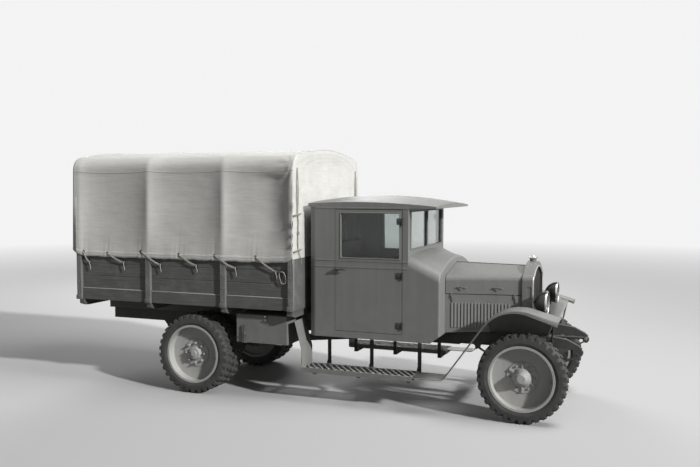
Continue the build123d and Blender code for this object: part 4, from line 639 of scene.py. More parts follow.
def tiltSection(share):
    # share runs from -1, the right hem, over 0, the crown, to 1; gives y, z and the outward direction
    reach, side = abs(share), math.copysign(1, share)
    roofHalf, wallY, wallZ = tilt["roofHalf"], tilt["wallY"], tilt["wallZ"]
    if reach < roofShare:
        y = roofHalf * reach / roofShare
        spot, lean = (y, crownZ(y)), (0.156 * y / 0.624, 1.0)
    elif reach < wallShare:
        t = (reach - roofShare) / (wallShare - roofShare)
        corners = list(zip((roofHalf, tilt["roofZ"]), (tilt["cornerY"], tilt["cornerZ"]), (wallY, wallZ)))
        spot = tuple((1 - t) ** 2 * p + 2 * t * (1 - t) * q + t * t * r for p, q, r in corners)
        step = tuple((1 - t) * (q - p) + t * (r - q) for p, q, r in corners)
        lean = (-step[1], step[0])
    else:
        t = (reach - wallShare) / (1 - wallShare)
        spot, lean = (wallY + tilt["wallLean"] * t, wallZ - tilt["wallDrop"] * t), (tilt["wallDrop"], tilt["wallLean"])
    size = math.hypot(*lean)
    return side * spot[0], spot[1], side * lean[0] / size, lean[1] / size


def bowGap(x):
    # how far the cloth at x is from the nearest bow's edge
    return max(0.0, min(abs(x - bow) for bow in tilt["bows"]) - tilt["bowHalf"])


def bowSag(x):
    for low, high in zip(tilt["bows"], tilt["bows"][1:]):
        if low <= x <= high:
            t = (x - low) / (high - low)
            taut = 1 - math.exp(-bowGap(x) / tilt["pull"])
            return (0.45 * (1 - abs(2 * t - 1) ** 2.4) + 0.55 * taut) * min(1.0, (high - low) / 0.85)
    return 0.0


def frontHollow(x, z):
    # the slack before the front bow, and the puckers that run out from its top corner
    ahead = tilt["frontX"] - x
    cup = math.exp(-((ahead - 0.270) / 0.170) ** 2)
    top, low = clamped((2.372 - z) / 0.045), clamped((z - 1.56) / 0.30)
    rise = z - tilt["puckerZ"]
    reach = math.hypot(ahead, rise) + 1e-6
    fan = math.sin(math.atan2(rise, ahead) * 11 + 0.8) if rise > -0.20 else 0.0
    pucker = tilt["pucker"] * fan * math.exp(-reach / 0.17) * min(1.0, reach / 0.05)
    return tilt["hollow"] * cup * top * top * (3 - 2 * top) * low, pucker


def ruffle(x, z):
    # between the lacing's knots the front edge flares outwards
    flare = sum(depth * math.cos(math.pi / 2 * (z - middle) / half) ** 2
                for middle, half, depth in tilt["ruffles"] if abs(z - middle) < half)
    return flare * math.exp((x - tilt["frontX"]) / 0.020)


def hemDrape(x, low):
    # what the tie eyes pull in near the hem, and how much the hem rises at the ends
    pull = sum(math.exp(-abs(x - eyeX) / 0.060) * low ** 6 * (0.005 + 0.004 * math.cos((x - eyeX) * 110))
               for eyeX, _ in tieEyes)
    pull += 0.0012 * low ** 3 * math.sin(x * 31 + 1.3 * math.sin(x * 7))
    ends = math.exp((tilt["rearX"] - x) / tilt["endReach"]) + math.exp((x - tilt["frontX"]) / tilt["endReach"])
    scallop = 0.0035 * math.sin(x * 25 + 0.8) + 0.0015 * math.sin(x * 61)
    return pull, low ** 4 * (tilt["endRise"] * ends + scallop)


def tiltPoint(x, share):
    y, z, outY, outZ = tiltSection(share)
    reach, sag, gap = abs(share), bowSag(x), bowGap(x)
    free = 1 - math.exp(-gap / 0.030)
    profile = math.sin(math.pi * clamped((reach - 0.42) / 0.60)) ** 0.8
    top = tilt["topSag"] * sag * (1 - 0.4 * min(1.0, reach / 0.42) ** 2)
    depth = top * (1 - profile) + tilt["sideSag"] * sag * profile
    fine = noise.noise((x * 6, y * 3, z * 30)) * 0.0024 + noise.noise((x * 2.1, y * 2, z * 5)) * 0.0035
    fine *= clamped((reach - 0.44) * 8, 0.12) * free
    hem = flare = 0.0
    if reach > 0.60:
        hem, rise = hemDrape(x, min(1.0, (reach - 0.60) / 0.40))
        z += rise
    hollow, pucker = frontHollow(x, z)
    if reach > 0.50:
        depth += hollow * free
        flare = ruffle(x, z)
    if reach > 0.40:
        depth += max(-0.004, pucker) * min(1.0, (reach - 0.40) * 12)
    inward = depth + max(-0.0006, fine) + max(-0.0006, hem * (0.3 + 0.7 * free)) + tilt["inset"] - flare
    if tilt["bows"][0] < x < tilt["frontX"] - 0.012:
        inward = min(inward, tilt["inset"] + 0.003 + gap * 0.9)
    return x, y - outY * inward, z - outZ * inward


def curtainPoint(across, down):
    y, z = tiltSection((1 - down) / 2)[:2]
    loose = clamped((min(crownZ(min(tilt["roofHalf"], across * y)) - z, (1 - abs(across)) * y) - 0.040) / 0.120)
    gather = 0.0024 * math.sin(z * 95 + 3 * across) * max(0.0, (abs(across) - 0.72) / 0.28)
    belly = -0.012 * (1 - across * across) * math.sin(math.pi * min(1, (1 - down) / 2 + 0.05)) ** 0.7
    crease = 0.004 * noise.noise((across * 3, z * 6, 4.2)) + 0.002 * noise.noise((across * 11, z * 14, 1.2))
    return -0.0390 + belly * loose + abs(gather) + min(0.0, crease) * loose, across * (y - 0.006), z - 0.004


def stripOf(name, low, high, lift, toX=None, columns=190, droop=0.0):
    # a band of doubled cloth on both halves of the sheet, such as a hem or a seam
    bm, rearX = bmesh.new(), tilt["rearX"]
    for _, side in sides:
        def spot(u, v):
            x = rearX + (u + 1) / 2 * ((toX or tilt["frontX"]) - rearX)
            share = side * (low + (v + 1) / 2 * (high - low) + droop * bowSag(x))
            return Vector(tiltPoint(x, share)) + Vector((0, *tiltSection(share)[2:])) * lift
        drop(bm, gridOf(columns, 3, spot))
    return thinPiece(name, bm, "canvasHem", lift + 0.001, -1)


def makeCanopy():
    rearX, frontX = tilt["rearX"], tilt["frontX"]
    cloth = gridOf(tilt["columns"], tilt["rows"], lambda u, v: tiltPoint(rearX + (u + 1) / 2 * (frontX - rearX), v))
    sheet = thinPiece("tiltSheet", cloth, "canvas", tilt["thick"], -1)
    curtain = thinPiece("tiltCurtain", gridOf(60, 72, curtainPoint), "canvas", tilt["thick"], 0)
    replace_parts(sheet, "canopy")
    trims = [stripOf("tiltHem", 0.968, 0.9995, 0.0006), stripOf("tiltSeam", 0.518, 0.5235, 0.0010, droop=0.009),
             stripOf("tiltRearBand", 0.0, 0.999, 0.0012, rearX + 0.045, 4)]
    print("tilt made")


# seat cushions, blown up by cloth simulation

seats = {"half": 0.615, "cushion": ((0.123, 0.603), (1.0558, 1.180)), "back": ((0.067, 0.165), (1.198, 1.668)),
         "backLean": -4, "edge": 0.022, "remesh": 0.016, "pressure": 4.0, "frames": 20, "furthest": 0.022,
         "stiffness": 12, "bending": 2.0, "fill": 0.8}


def evaluated(piece):
    return bpy.data.meshes.new_from_object(piece.evaluated_get(bpy.context.evaluated_depsgraph_get()))


def blownUp(cushion):
    cloth = cushion.modifiers.new("cloth", "CLOTH")
    facts = cloth.settings
    facts.quality, facts.mass = 6, 0.3
    facts.tension_stiffness = facts.compression_stiffness = seats["stiffness"]
    facts.bending_stiffness = seats["bending"]
    facts.use_pressure, facts.uniform_pressure_force = True, seats["pressure"]
    facts.vertex_group_mass = "held"
    facts.effector_weights.gravity = 0.0
    cloth.collision_settings.use_collision = False
    cloth.point_cache.frame_start, cloth.point_cache.frame_end = 1, seats["frames"]
    for number in range(1, seats["frames"] + 1):
        bpy.context.scene.frame_set(number)
    blown = evaluated(cushion)
    for before, after in zip(cushion.data.vertices, blown.vertices):
        move = after.co - before.co
        if move.length > seats["furthest"]:
            after.co = before.co + move * (seats["furthest"] / move.length)
    cushion.modifiers.clear()
    cushion.data = blown
    bpy.context.scene.frame_set(1)


def makeCushion(name, size, place, pinned):
    # voxel remesh, then the cloth fills out while its pinned seams stay where they are
    bm = bmesh.new()
    block(bm, size, place, seats["edge"], 3)
    cushion = placed(name, meshOf(name, bm))
    bpy.context.view_layer.objects.active = cushion
    remesh = cushion.modifiers.new("remesh", "REMESH")
    remesh.mode, remesh.voxel_size = "VOXEL", seats["remesh"]
    held = cushion.vertex_groups.new(name="held")
    even = evaluated(cushion)
    cushion.modifiers.clear()
    cushion.data = even
    held.add([v.index for v in even.vertices if pinned(v.co)], 1.0, "REPLACE")
    blownUp(cushion)
    cushion.data.polygons.foreach_set("use_smooth", [True] * len(cushion.data.polygons))
    smooth = cushion.modifiers.new("smooth", "SUBSURF")
    smooth.levels = smooth.render_levels = 1
    cushion.data.materials.clear()
    carried(cushion, "leather")
    return cushion


def makeCushions():
    width = 2 * seats["half"] - 0.02
    (lowX, highX), (lowZ, highZ) = seats["cushion"]
    midX, foot, seam = (lowX + highX) / 2, lowZ + 0.03, highZ - 0.04
    cushion = makeCushion("seatCushion", (highX - lowX - 0.02, width, highZ - lowZ - 0.03),
                          at(midX, 0, (lowZ + highZ) / 2 - 0.006),
                          lambda spot: spot.z < foot or (abs(spot.x - midX) < 0.012 and spot.z > seam))
    (lowX, highX), (lowZ, highZ) = seats["back"]
    midZ, rear, crease = (lowZ + highZ) / 2, lowX + 0.03, highX - 0.05
    makeCushion("seatBack", (highX - lowX - 0.01, width, highZ - lowZ - 0.03),
                at((lowX + highX) / 2, 0, midZ) @ turned(seats["backLean"], "Y"),
                lambda spot: spot.x < rear or (abs(spot.z - midZ) < 0.012 and spot.x > crease))
    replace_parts(cushion, "seat_cushions")
    print("cushions made")


# tie ropes, eyelets and hooks along both sides, and the spare rope's hank

rigging = {"boardY": 0.912, "hookOut": 0.028, "hookRadius": 0.0055, "ropeRadius": 0.0048, "eyeRadius": 0.0155,
           "eyeWire": 0.0050}
hank = {"top": (-0.172, -0.9170, 1.3685), "turns": 3, "sizes": (0.97, 1.0, 0.96, 0.96), "fan": 15.0,
        "layer": 0.0088, "radius": 0.0045, "length": 1.12}


def eyePoint(x, z, side):
    share = wallShare + (1 - wallShare) * (tilt["wallZ"] - z) / tilt["wallDrop"]
    y, z = tiltPoint(x, side * share)[1:]
    return Vector((x, y + 0.0008 * side, z))


def hemPoint(eye, end, side):
    # where the rope leaves the cloth's lower edge
    for step in range(1, 40):
        spot = eye.lerp(end, step / 40)
        edge = tiltPoint(spot.x, side)
        if spot.z < edge[2]:
            return Vector((spot.x, edge[1] + side * 0.0050, spot.z))
    return eye.lerp(end, 0.5)


def makeRigging():
    ropes, hooks = [], []
    eyes, plates = bmesh.new(), bmesh.new()
    radius = rigging["eyeRadius"]
    wire = [(radius + x, z) for x, z in ring(8, rigging["eyeWire"], squash=0.6)]
    for _, side in sides:
        y, out = side * rigging["boardY"], side * rigging["hookOut"]
        for (eyeX, eyeZ), (hookX, hookZ) in zip(tieEyes, tieHooks):
            eye = eyePoint(eyeX, eyeZ, side)
            spun(eyes, wire, at(*eye) @ turned(90, "X"), 20, closed=True)
            spun(eyes, [(0.0, -0.0006), (radius - 0.002, 0.0004), (radius, -0.001)],
                 at(*eye) @ turned(-90 * side, "X"), 20)
            block(plates, (0.034, 0.005, 0.074), at(hookX, y + side * 0.0025, hookZ + 0.002), 0.001)
            hooks.append([(hookX, y + out * share, hookZ + up) for share, up in
                          ((0, 0.014), (0.9, 0.012), (1, -0.006), (0.55, -0.014), (0.35, -0.002))])
            end = Vector((hookX, y + out * 0.85, hookZ + 0.004))
            lift = Vector((0, side * 0.004, 0))
            hem = hemPoint(eye, end, side)
            for shift in (Vector((0, 0, 0.0050)), Vector((0, 0, -0.0050))):
                middle = (hem + end) / 2 + Vector((0, 0, -0.006 * random.uniform(0.6, 1.4)))
                ropes.append([eye - lift + shift * 0.5, eye + lift + shift * 0.7,
                              (eye + hem) / 2 + lift * 0.8 + shift, hem + shift, middle + shift, end + shift])
            tail = [(0, 0.003, 0), (0.008, 0.006, -0.020), (0.013 + random.uniform(-0.006, 0.010), 0.003, -0.045),
                    (0.016, 0.001, -0.070 - random.uniform(0.0, 0.025))]
            knot = [(-0.008, 0, 0.006), (0.002, 0.006, 0.012), (0.010, 0, 0.002), (0.000, -0.004, -0.008),
                    (-0.010, 0.002, -0.002)]
            ropes += [[end + Vector((x, side * y, z)) for x, y, z in route] for route in (tail, knot)]
    tube("tieRopes", ropes, rigging["ropeRadius"], "rope")
    tube("tieHooks", hooks, rigging["hookRadius"], "chassisPaint")
    newPiece("tieEyelets", eyes, "chassisPaint")
    newPiece("hookPlates", plates, "chassisPaint")
    print("rigging made")


def hankRoute():
    # three loose laps over the hook, fanned out below it; each step is a turn, a point of the lap and its swing
    lap = [(0.0, 0.0), (0.0226, -0.0094), (0.0320, -0.032), (0.0325, -0.068), (0.0320, -0.104), (0.0226, -0.1266),
           (0.0, -0.136), (-0.0226, -0.1266), (-0.0320, -0.104), (-0.0325, -0.068), (-0.0320, -0.032),
           (-0.0226, -0.0094)]
    steps = [(-1, 9, -0.9), (-1, 10, -1.0), (-1, 11, -1.0)]
    steps += [(turn, step, turn - 1 + (0.5 if step > 9 and turn < 2 else 0.0))
              for turn in range(hank["turns"]) for step in range(len(lap))]
    steps += [(hank["turns"], step, 1.0 + 0.15 * step) for step in range(4)]
    route = []
    for turn, step, swing in steps:
        lean, size = math.radians(hank["fan"] * swing), hank["sizes"][max(0, turn)]
        x, z = lap[step][0] * size, lap[step][1] * size
        route.append(Vector(hank["top"]) + Vector((x * math.cos(lean) - z * math.sin(lean),
                                                   -hank["layer"] * max(0.0, turn + step / len(lap)),
                                                   z * math.cos(lean) + x * math.sin(lean))))
    return route


def makeHank():
    route = hankRoute()
    rope = tube("spareRope", [route], hank["radius"], "rope")
    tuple(route[0])
    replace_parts(rope, "rope_hank")
    x, _, z = hank["top"]
    tube("hankHook", [[(x, -0.910, z - 0.008), (x, -0.930, z - 0.009), (x, -0.9475, z - 0.012),
                       (x, -0.9500, z + 0.004)]], 0.0036, "chassisPaint")


# lacing where the sheet meets the curtain

lacing = {"x": -0.0275, "y": 0.846, "toggles": (1.949, 1.579), "knotZ": 1.764, "topZ": 2.430, "radius": 0.0045}


def makeLacing():
    cords, bars = [], bmesh.new()
    x, knotZ = lacing["x"], lacing["knotZ"]
    high, low = lacing["toggles"]
    for _, side in sides:
        def cord(*spots):
            # each spot is ahead of the lacing's line, out from it, and a height
            cords.append([(x + ahead, side * (lacing["y"] + out), z) for ahead, out, z in spots])
        for bow in (-1, 1):
            cord((-0.002, 0, lacing["topZ"]), (0, bow * 0.012, 2.340), (0, bow * 0.022, 2.150),
                 (0, bow * 0.012, high + 0.070), (0, bow * 0.004, high))
            cord((0, -0.002, high), (0, -0.020 - 0.012 * bow, (high + 1.80) / 2), (0, -0.014, knotZ + 0.02),
                 (0, -0.012, knotZ))
            cord((0, -0.012, knotZ), (0, -0.004 - 0.010 * bow, 1.690), (0, -0.010, low + 0.03), (0, -0.014, low))
        cord((0, -0.014, low), (0.003, -0.05, 1.530), (0, -0.075, 1.490), (-0.002, -0.087, 1.440))
        for turn in range(3):
            a = turn * 1.1
            knot = ((-0.004, 0.020 * math.cos(a), 0.026 * math.sin(a)), (0.012, 0.008 * math.cos(a + 1), 0.012),
                    (0.010, -0.012 * math.cos(a), -0.014), (-0.004, -0.020 * math.cos(a), -0.026 * math.sin(a)))
            cords.append([(x + ahead, side * (lacing["y"] - 0.012) + along, knotZ + up) for ahead, along, up in knot])
        for z in (high, low):
            rod(bars, (x - 0.002, side * 0.760, z + 0.010), (x + 0.004, side * 0.948, z - 0.006), 0.0085, segments=12)
    tube("frontLacing", cords, lacing["radius"], "rope")
    newPiece("toggleBars", bars, "bareAsh")
    print("lacing made")


# wheel furniture: nuts, valves, rim lock rings and hub caps; nuts have a count, a circle, an offset and sizes

wheelNuts = {"front": (6, 0.118, -0.014, (0.022, 0.012, 0.0065)), "rear": (8, 0.110, 0.009, (0.024, 0.014, 0.0070))}


def makeWheelTrim():
    for name, side in sides:
        for end, body in (("front", "wheel_front"), ("rear", "wheels_rear")):
            bm, facing = bmesh.new(), (0, side, 0)
            x, y = axle[end + "X"], axle[end + "Y"]
            count, circle, offset, sizes = wheelNuts[end]
            for across, up in ring(count, circle):
                nut(bm, (x + across, side * (y + offset), axle["z"] + up), facing, *sizes)
            if end == "rear":
                for across, up in ring(10, 0.140, 18):
                    rivet(bm, (x + across, side * (y - 0.007), axle["z"] + up), facing, 0.007)
            wheelRings(bm, x, side * y, side)
            if end == "front":
                spun(bm, [(0, 0.0035), (0.010, 0.003), (0.012, 0.0), (0.030, 0.0), (0.034, -0.002), (0.036, -0.006)],
                     at(x, side * (y + 0.076), axle["z"]) @ turned(-90 * side, "X"), 32)
            newPiece(f"{end}WheelTrim_{name}", bm, "wheelPaint", f"{body}_{name}")
    print("wheel trim made")


def wheelRings(bm, x, y, side):
    # the rim's lock ring and the valve
    outline = [(0.3085 + out, 0.0765 + up) for out, up in ring(8, 0.0060, squash=0.75)]
    spun(bm, outline, at(x, y, axle["z"]) @ turned(-90 * side, "X"), 96, closed=True)
    foot = Vector((x + 0.268, y - side * 0.016, axle["z"] - 0.030))
    head = foot + Vector((-0.012, side * 0.062, 0.0))
    rod(bm, foot, head, 0.0042, segments=10)
    rod(bm, head, head + (head - foot).normalized() * 0.012, 0.0058, 0.0052, 10)


# bonnet, radiator and lamps; rivets along the bonnet have a first place, a count and a pitch

nose = {"capX": 2.228, "capZ": 1.510, "lampX": 2.431, "lampY": 0.437, "lampZ": 1.114, "lampRadius": 0.112,
        "handleZ": 1.235, "handles": (1.60, 1.95), "catches": (1.500, 2.110), "rivets": (1.452, 22, 0.0338),
        "taper": 9.9}
radiator = {"frontX": 2.2785, "half": 0.342, "bottomZ": 0.850, "shoulderZ": 1.345, "corner": 0.060,
            "crownZ": 1.430, "beadRadius": 0.0075, "sillRadius": 0.0065}


def bonnetSideY(x):
    return 0.500 - (x - 1.433) * 0.130 / 0.745


def bonnetSpot(x, side, out, z):
    return x, side * (bonnetSideY(x) + out), z


def bonnetRivets(bm, side, z):
    start, count, pitch = nose["rivets"]
    for number in range(count):
        rivet(bm, bonnetSpot(start + number * pitch, side, -0.001, z), (0, side, 0), 0.0035)


def makeBonnetTrim():
    catches = bmesh.new()
    for name, side in sides:
        bm, taper = bmesh.new(), turned(side * nose["taper"], "Z")
        for x in nose["handles"]:
            block(bm, (0.10, 0.010, 0.014), at(*bonnetSpot(x, side, 0.023, nose["handleZ"])) @ taper, 0.004)
            for end in (x - 0.042, x + 0.042):
                rod(bm, bonnetSpot(end, side, -0.002, nose["handleZ"]), bonnetSpot(end, side, 0.022, nose["handleZ"]),
                    0.005, segments=10)
        bonnetRivets(bm, side, 1.182)
        newPiece(f"bonnetHandles_{name}", bm, "bodyPaint", f"bonnet_{name}")
        for x in nose["catches"]:
            block(catches, (0.026, 0.006, 0.060), at(*bonnetSpot(x, side, 0.004, 1.120)) @ taper, 0.002)
            rod(catches, bonnetSpot(x, side, 0.004, 1.140), bonnetSpot(x, side, 0.018, 1.140), 0.006, 0.004, 12)
            block(catches, (0.010, 0.008, 0.050), at(*bonnetSpot(x, side, 0.014, 1.155)) @ taper, 0.003)
        bonnetRivets(catches, side, 1.150)
        bonnetRivets(catches, side, 0.822)
    newPiece("bonnetCatches", catches, "bodyPaint")


def makeRadiatorTrim():
    bm, cap = bmesh.new(), at(nose["capX"], 0, nose["capZ"])
    spun(bm, [(0.036, -0.004), (0.043, 0.0), (0.043, 0.010), (0.036, 0.015), (0.022, 0.020), (0.020, 0.026),
              (0.0, 0.028)], cap, 32)
    for number in range(6):
        block(bm, (0.012, 0.016, 0.014), cap @ turned(60 * number, "Z") @ at(0.042, 0, 0.006), 0.003)
    newPiece("radiatorCap", bm, "nickel")
    bm = bmesh.new()
    for x in (2.186, 2.270):
        for _, side in sides:
            for number in range(9):
                rivet(bm, (x, side * 0.392, 0.86 + number * 0.058), (0, side, 0), 0.0045)
    newPiece("radiatorRivets", bm, "bodyPaint")


def makeRadiatorBead():
    x, half, shoulder, corner = [radiator[key] for key in ("frontX", "half", "shoulderZ", "corner")]
    line = [(-half, radiator["bottomZ"]), (-half, 1.0), (-half, shoulder - corner - 0.05),
            (-half, shoulder - 0.012), (-half + 0.020, shoulder + 0.004)]
    for step in range(9):
        y = (half - corner) * (step / 8 - 1)
        line.append((y, shoulder + (radiator["crownZ"] - shoulder) * (1 - (y / (half - corner)) ** 2)))
    line += [(-y, z) for y, z in reversed(line[:-1])]
    tube("radiatorBead", [[(x, y, z) for y, z in line]], radiator["beadRadius"], "nickel")
    sill = [(x, y, radiator["bottomZ"]) for y in (-half, 0, half)]
    tube("radiatorSill", [sill], radiator["sillRadius"], "nickel")
    print("nose made")


def makeLamps():
    rings, mirrors, bulbs = bmesh.new(), bmesh.new(), bmesh.new()
    r = nose["lampRadius"]
    rim = [(r - 0.010, -0.004), (r - 0.009, 0.003), (r - 0.004, 0.0055), (r + 0.001, 0.003), (r + 0.003, -0.004),
           (r + 0.003, -0.014), (r, -0.016)]
    bowl = [(0.0935 * math.sin(math.radians(a)), -0.0160 - 0.083 * math.cos(math.radians(a)))
            for a in (2, 12, 24, 36, 48, 60, 72, 82, 90)]
    bulb = [(0.0, -0.040), (0.006, -0.041), (0.0105, -0.047), (0.0110, -0.054), (0.008, -0.062), (0.0065, -0.070),
            (0.0065, -0.098)]
    for _, side in sides:
        place = at(nose["lampX"], side * nose["lampY"], nose["lampZ"]) @ turned(90, "Y")
        spun(rings, rim, place, 64)
        for degrees in (60, 180, 300):
            block(rings, (0.012, 0.008, 0.012), place @ turned(degrees, "Z") @ at(r + 0.003, 0, -0.008), 0.002)
        spun(mirrors, bowl, place, 48)
        spun(bulbs, bulb, place, 20)
    newPiece("lampRims", rings, "nickel")
    newPiece("lampMirrors", mirrors, "mirror")
    newPiece("lampBulbs", bulbs, "frosted")


# cargo bed: ledge irons, coach bolts, tailgate irons and latches

bed = {"stations": (-2.705, -1.783, -0.850, -0.064), "boardY": 0.912, "postY": 0.950, "ledgeZ": 1.0945,
       "ledgeTurn": 39, "boltZ": (1.030, 1.166, 1.304, 1.440), "tailX": -2.738, "strapY": (-0.600, 0.0, 0.600),
       "strapZ": (1.050, 1.150, 1.250, 1.340), "latchZ": 1.430}


def makeBedTrim():
    irons, bolts = bmesh.new(), bmesh.new()
    boardY, postY = bed["boardY"], bed["postY"]
    for _, side in sides:
        facing = (0, side, 0)
        for low, high in zip(bed["stations"], bed["stations"][1:]):
            block(irons, (high - low - 0.066, 0.0110, 0.0030),
                  at((low + high) / 2, side * (boardY + 0.0052), bed["ledgeZ"])
                  @ turned(-side * bed["ledgeTurn"], "X"), 0.0008)
            for share in (0.33, 0.67):
                for z in bed["boltZ"]:
                    out = boardY + (0.0100 if z < bed["ledgeZ"] else 0)
                    rivet(bolts, (low + (high - low) * share, side * out, z), facing, 0.0050)
        for station in bed["stations"]:
            for z in bed["boltZ"]:
                rivet(bolts, (station, side * postY, z), facing, 0.0095)
                rivet(bolts, (station + 0.0305, side * 0.934, z), (1, 0, 0), 0.0060)
            block(bolts, (0.078, 0.005, 0.050), at(station, side * (postY + 0.0015), 0.988), 0.0015)
    # the ledge irons get the lighter worn paint, which is partly a painted highlight on their lit tops
    newPiece("ledgeIrons", irons, "wornPaint")
    newPiece("bedBolts", bolts, "postPaint")
    bm, x, z = bmesh.new(), bed["tailX"], bed["latchZ"]
    for _, side in sides:
        block(bm, (0.006, 0.060, 0.120), at(x, side * 0.790, z), 0.0015)
        rod(bm, (x - 0.010, side * 0.770, z), (x - 0.010, side * 0.850, z), 0.007, segments=14)
        rod(bm, (x - 0.010, side * 0.790, z), (x - 0.014, side * 0.790, z - 0.045), 0.005, segments=10)
        for shift in (-0.045, 0.045):
            nut(bm, (x - 0.002, side * 0.812, z + shift), (-1, 0, 0), 0.014, 0.006, 0)
    for y in bed["strapY"]:
        block(bm, (0.006, 0.060, 0.360), at(x, y, 1.185), 0.0015)
        for z in bed["strapZ"]:
            nut(bm, (x - 0.002, y, z), (-1, 0, 0), 0.017, 0.008, 0.004)
    newPiece("tailgateIrons", bm, "chassisPaint", "tailgate")
    print("bed trim made")


# cab: mouldings round the back, window beads, hinges and handles

cab = {"half": 0.706, "backX": 0.028, "cornerX": 0.116, "corner": 0.088, "mouldings": (1.420, 1.485, 2.020),
       "window": (0.393, 1.014, 1.517, 1.968), "beadRadius": 0.0062, "hingeX": 1.052, "hingeY": 0.7155,
       "hinges": (0.848, 1.349, 1.890), "handleX": 0.348, "handleZ": 1.395, "innerHandleX": 0.368, "winderX": 0.700,
       "screens": ((-0.614, -0.014), (0.014, 0.614)), "screenX": 1.1095, "screenZ": (1.605, 1.988),
       "screenBead": 0.0055}


def makeBackMouldings():
    bm, innerY = bmesh.new(), cab["half"] - cab["corner"]
    low, high = cab["corner"] - 0.0010, cab["corner"] + 0.0039
    outline = ((low, -0.007), (high, -0.007), (high + 0.0001, -0.0055), (high + 0.0001, 0.0055), (high, 0.007),
               (low, 0.007))
    for z in cab["mouldings"]:
        block(bm, (0.0050, 2 * innerY, 0.014), at(cab["backX"] - 0.0014, 0, z), 0.0012)
        for _, side in sides:
            part = bmesh.new()
            verts = [part.verts.new((-r, 0, h)) for r, h in outline]
            edges = [part.edges.new(pair) for pair in zip(verts, verts[1:] + verts[:1])]
            bmesh.ops.spin(part, geom=verts + edges, cent=(0, 0, 0), axis=(0, 0, 1), angle=-side * math.pi / 2,
                           steps=12, use_duplicate=False)
            drop(bm, part, at(cab["cornerX"], side * innerY, z))
    newPiece("backMouldings", bm, "bodyPaint")


def makeDoorTrim():
    lowX, highX, lowZ, highZ = [edge + out for edge, out in zip(cab["window"], (-0.005, 0.005, -0.005, 0.005))]
    for name, side in sides:
        y, facing, hingeX, hingeY = side * cab["half"], (0, side, 0), cab["hingeX"], side * cab["hingeY"]
        bead, dark, inner = bmesh.new(), bmesh.new(), bmesh.new()
        beadFrame(bead, [(lowX, y, lowZ), (highX, y, lowZ), (highX, y, highZ), (lowX, y, highZ)], cab["beadRadius"])
        for z in cab["hinges"]:
            block(dark, (0.062, 0.0082, 0.064), at(hingeX - 0.033, y + side * 0.0035, z), 0.0014)
            rod(dark, (hingeX, hingeY, z - 0.036), (hingeX, hingeY, z + 0.036), 0.0098)
            for shift in (-0.018, 0.018):
                rivet(dark, (hingeX - 0.046, y + side * 0.0076, z + shift), facing, 0.0045)
        x, z, outY = cab["handleX"], cab["handleZ"], y + side * 0.036
        spun(dark, [(0.024, 0.0), (0.024, 0.003), (0.018, 0.006), (0.0138, 0.010), (0.0138, 0.043), (0.010, 0.046),
                    (0.0, 0.0465)], at(x, y, z) @ turned(-90 * side, "X"), 24)
        rod(dark, (x, outY, z), (x + 0.098, outY, z), 0.0102, 0.0086)
        ball(dark, (x + 0.098, outY, z), 0.0102, 14)
        gripX, winderX, innerY = cab["innerHandleX"], cab["winderX"], cab["half"] - 0.035
        for (x1, in1, z1), (x2, in2, z2), radius in (
                ((gripX, 0, 1.390), (gripX, 0.028, 1.390), 0.008),
                ((gripX, 0.026, 1.390), (gripX + 0.080, 0.026, 1.385), 0.006),
                ((winderX, 0, 1.330), (winderX, 0.022, 1.330), 0.009),
                ((winderX, 0.020, 1.330), (winderX + 0.055, 0.020, 1.290), 0.005),
                ((winderX + 0.055, 0.018, 1.290), (winderX + 0.055, 0.042, 1.290), 0.009)):
            rod(inner, (x1, side * (innerY - in1), z1), (x2, side * (innerY - in2), z2), radius)
        newPiece(f"windowBeads_{name}", bead, "bodyPaint", f"door_{name}")
        newPiece(f"doorIrons_{name}", dark, "lampPaint", f"door_{name}")
        newPiece(f"innerHandles_{name}", inner, "nickel", f"door_{name}")


def makeScreenTrim():
    bm, x, (lowZ, highZ) = bmesh.new(), cab["screenX"], cab["screenZ"]
    for low, high in cab["screens"]:
        beadFrame(bm, [(x, low, lowZ), (x, high, lowZ), (x, high, highZ), (x, low, highZ)], cab["screenBead"])
    newPiece("screenBeads", bm, "bodyPaint")
    print("cab trim made")


# inside the cab: dials, pedals, lever knobs; a dial has a place across the cab, a size and its needle's angle

dash = {"x": 1.0725, "z": 1.490, "radius": 0.043,
        "dials": ((-0.420, 0.72, -70), (-0.300, 1.0, -20), (-0.160, 1.0, 35), (0.020, 0.72, 60)),
        "pedals": ((1.330, -0.410), (1.330, -0.245), (1.350, -0.170)), "pedalZ": 0.990, "pedalLean": -28,
        "knobs": ((0.820, -0.090, 1.244), (0.760, 0.010, 1.184))}


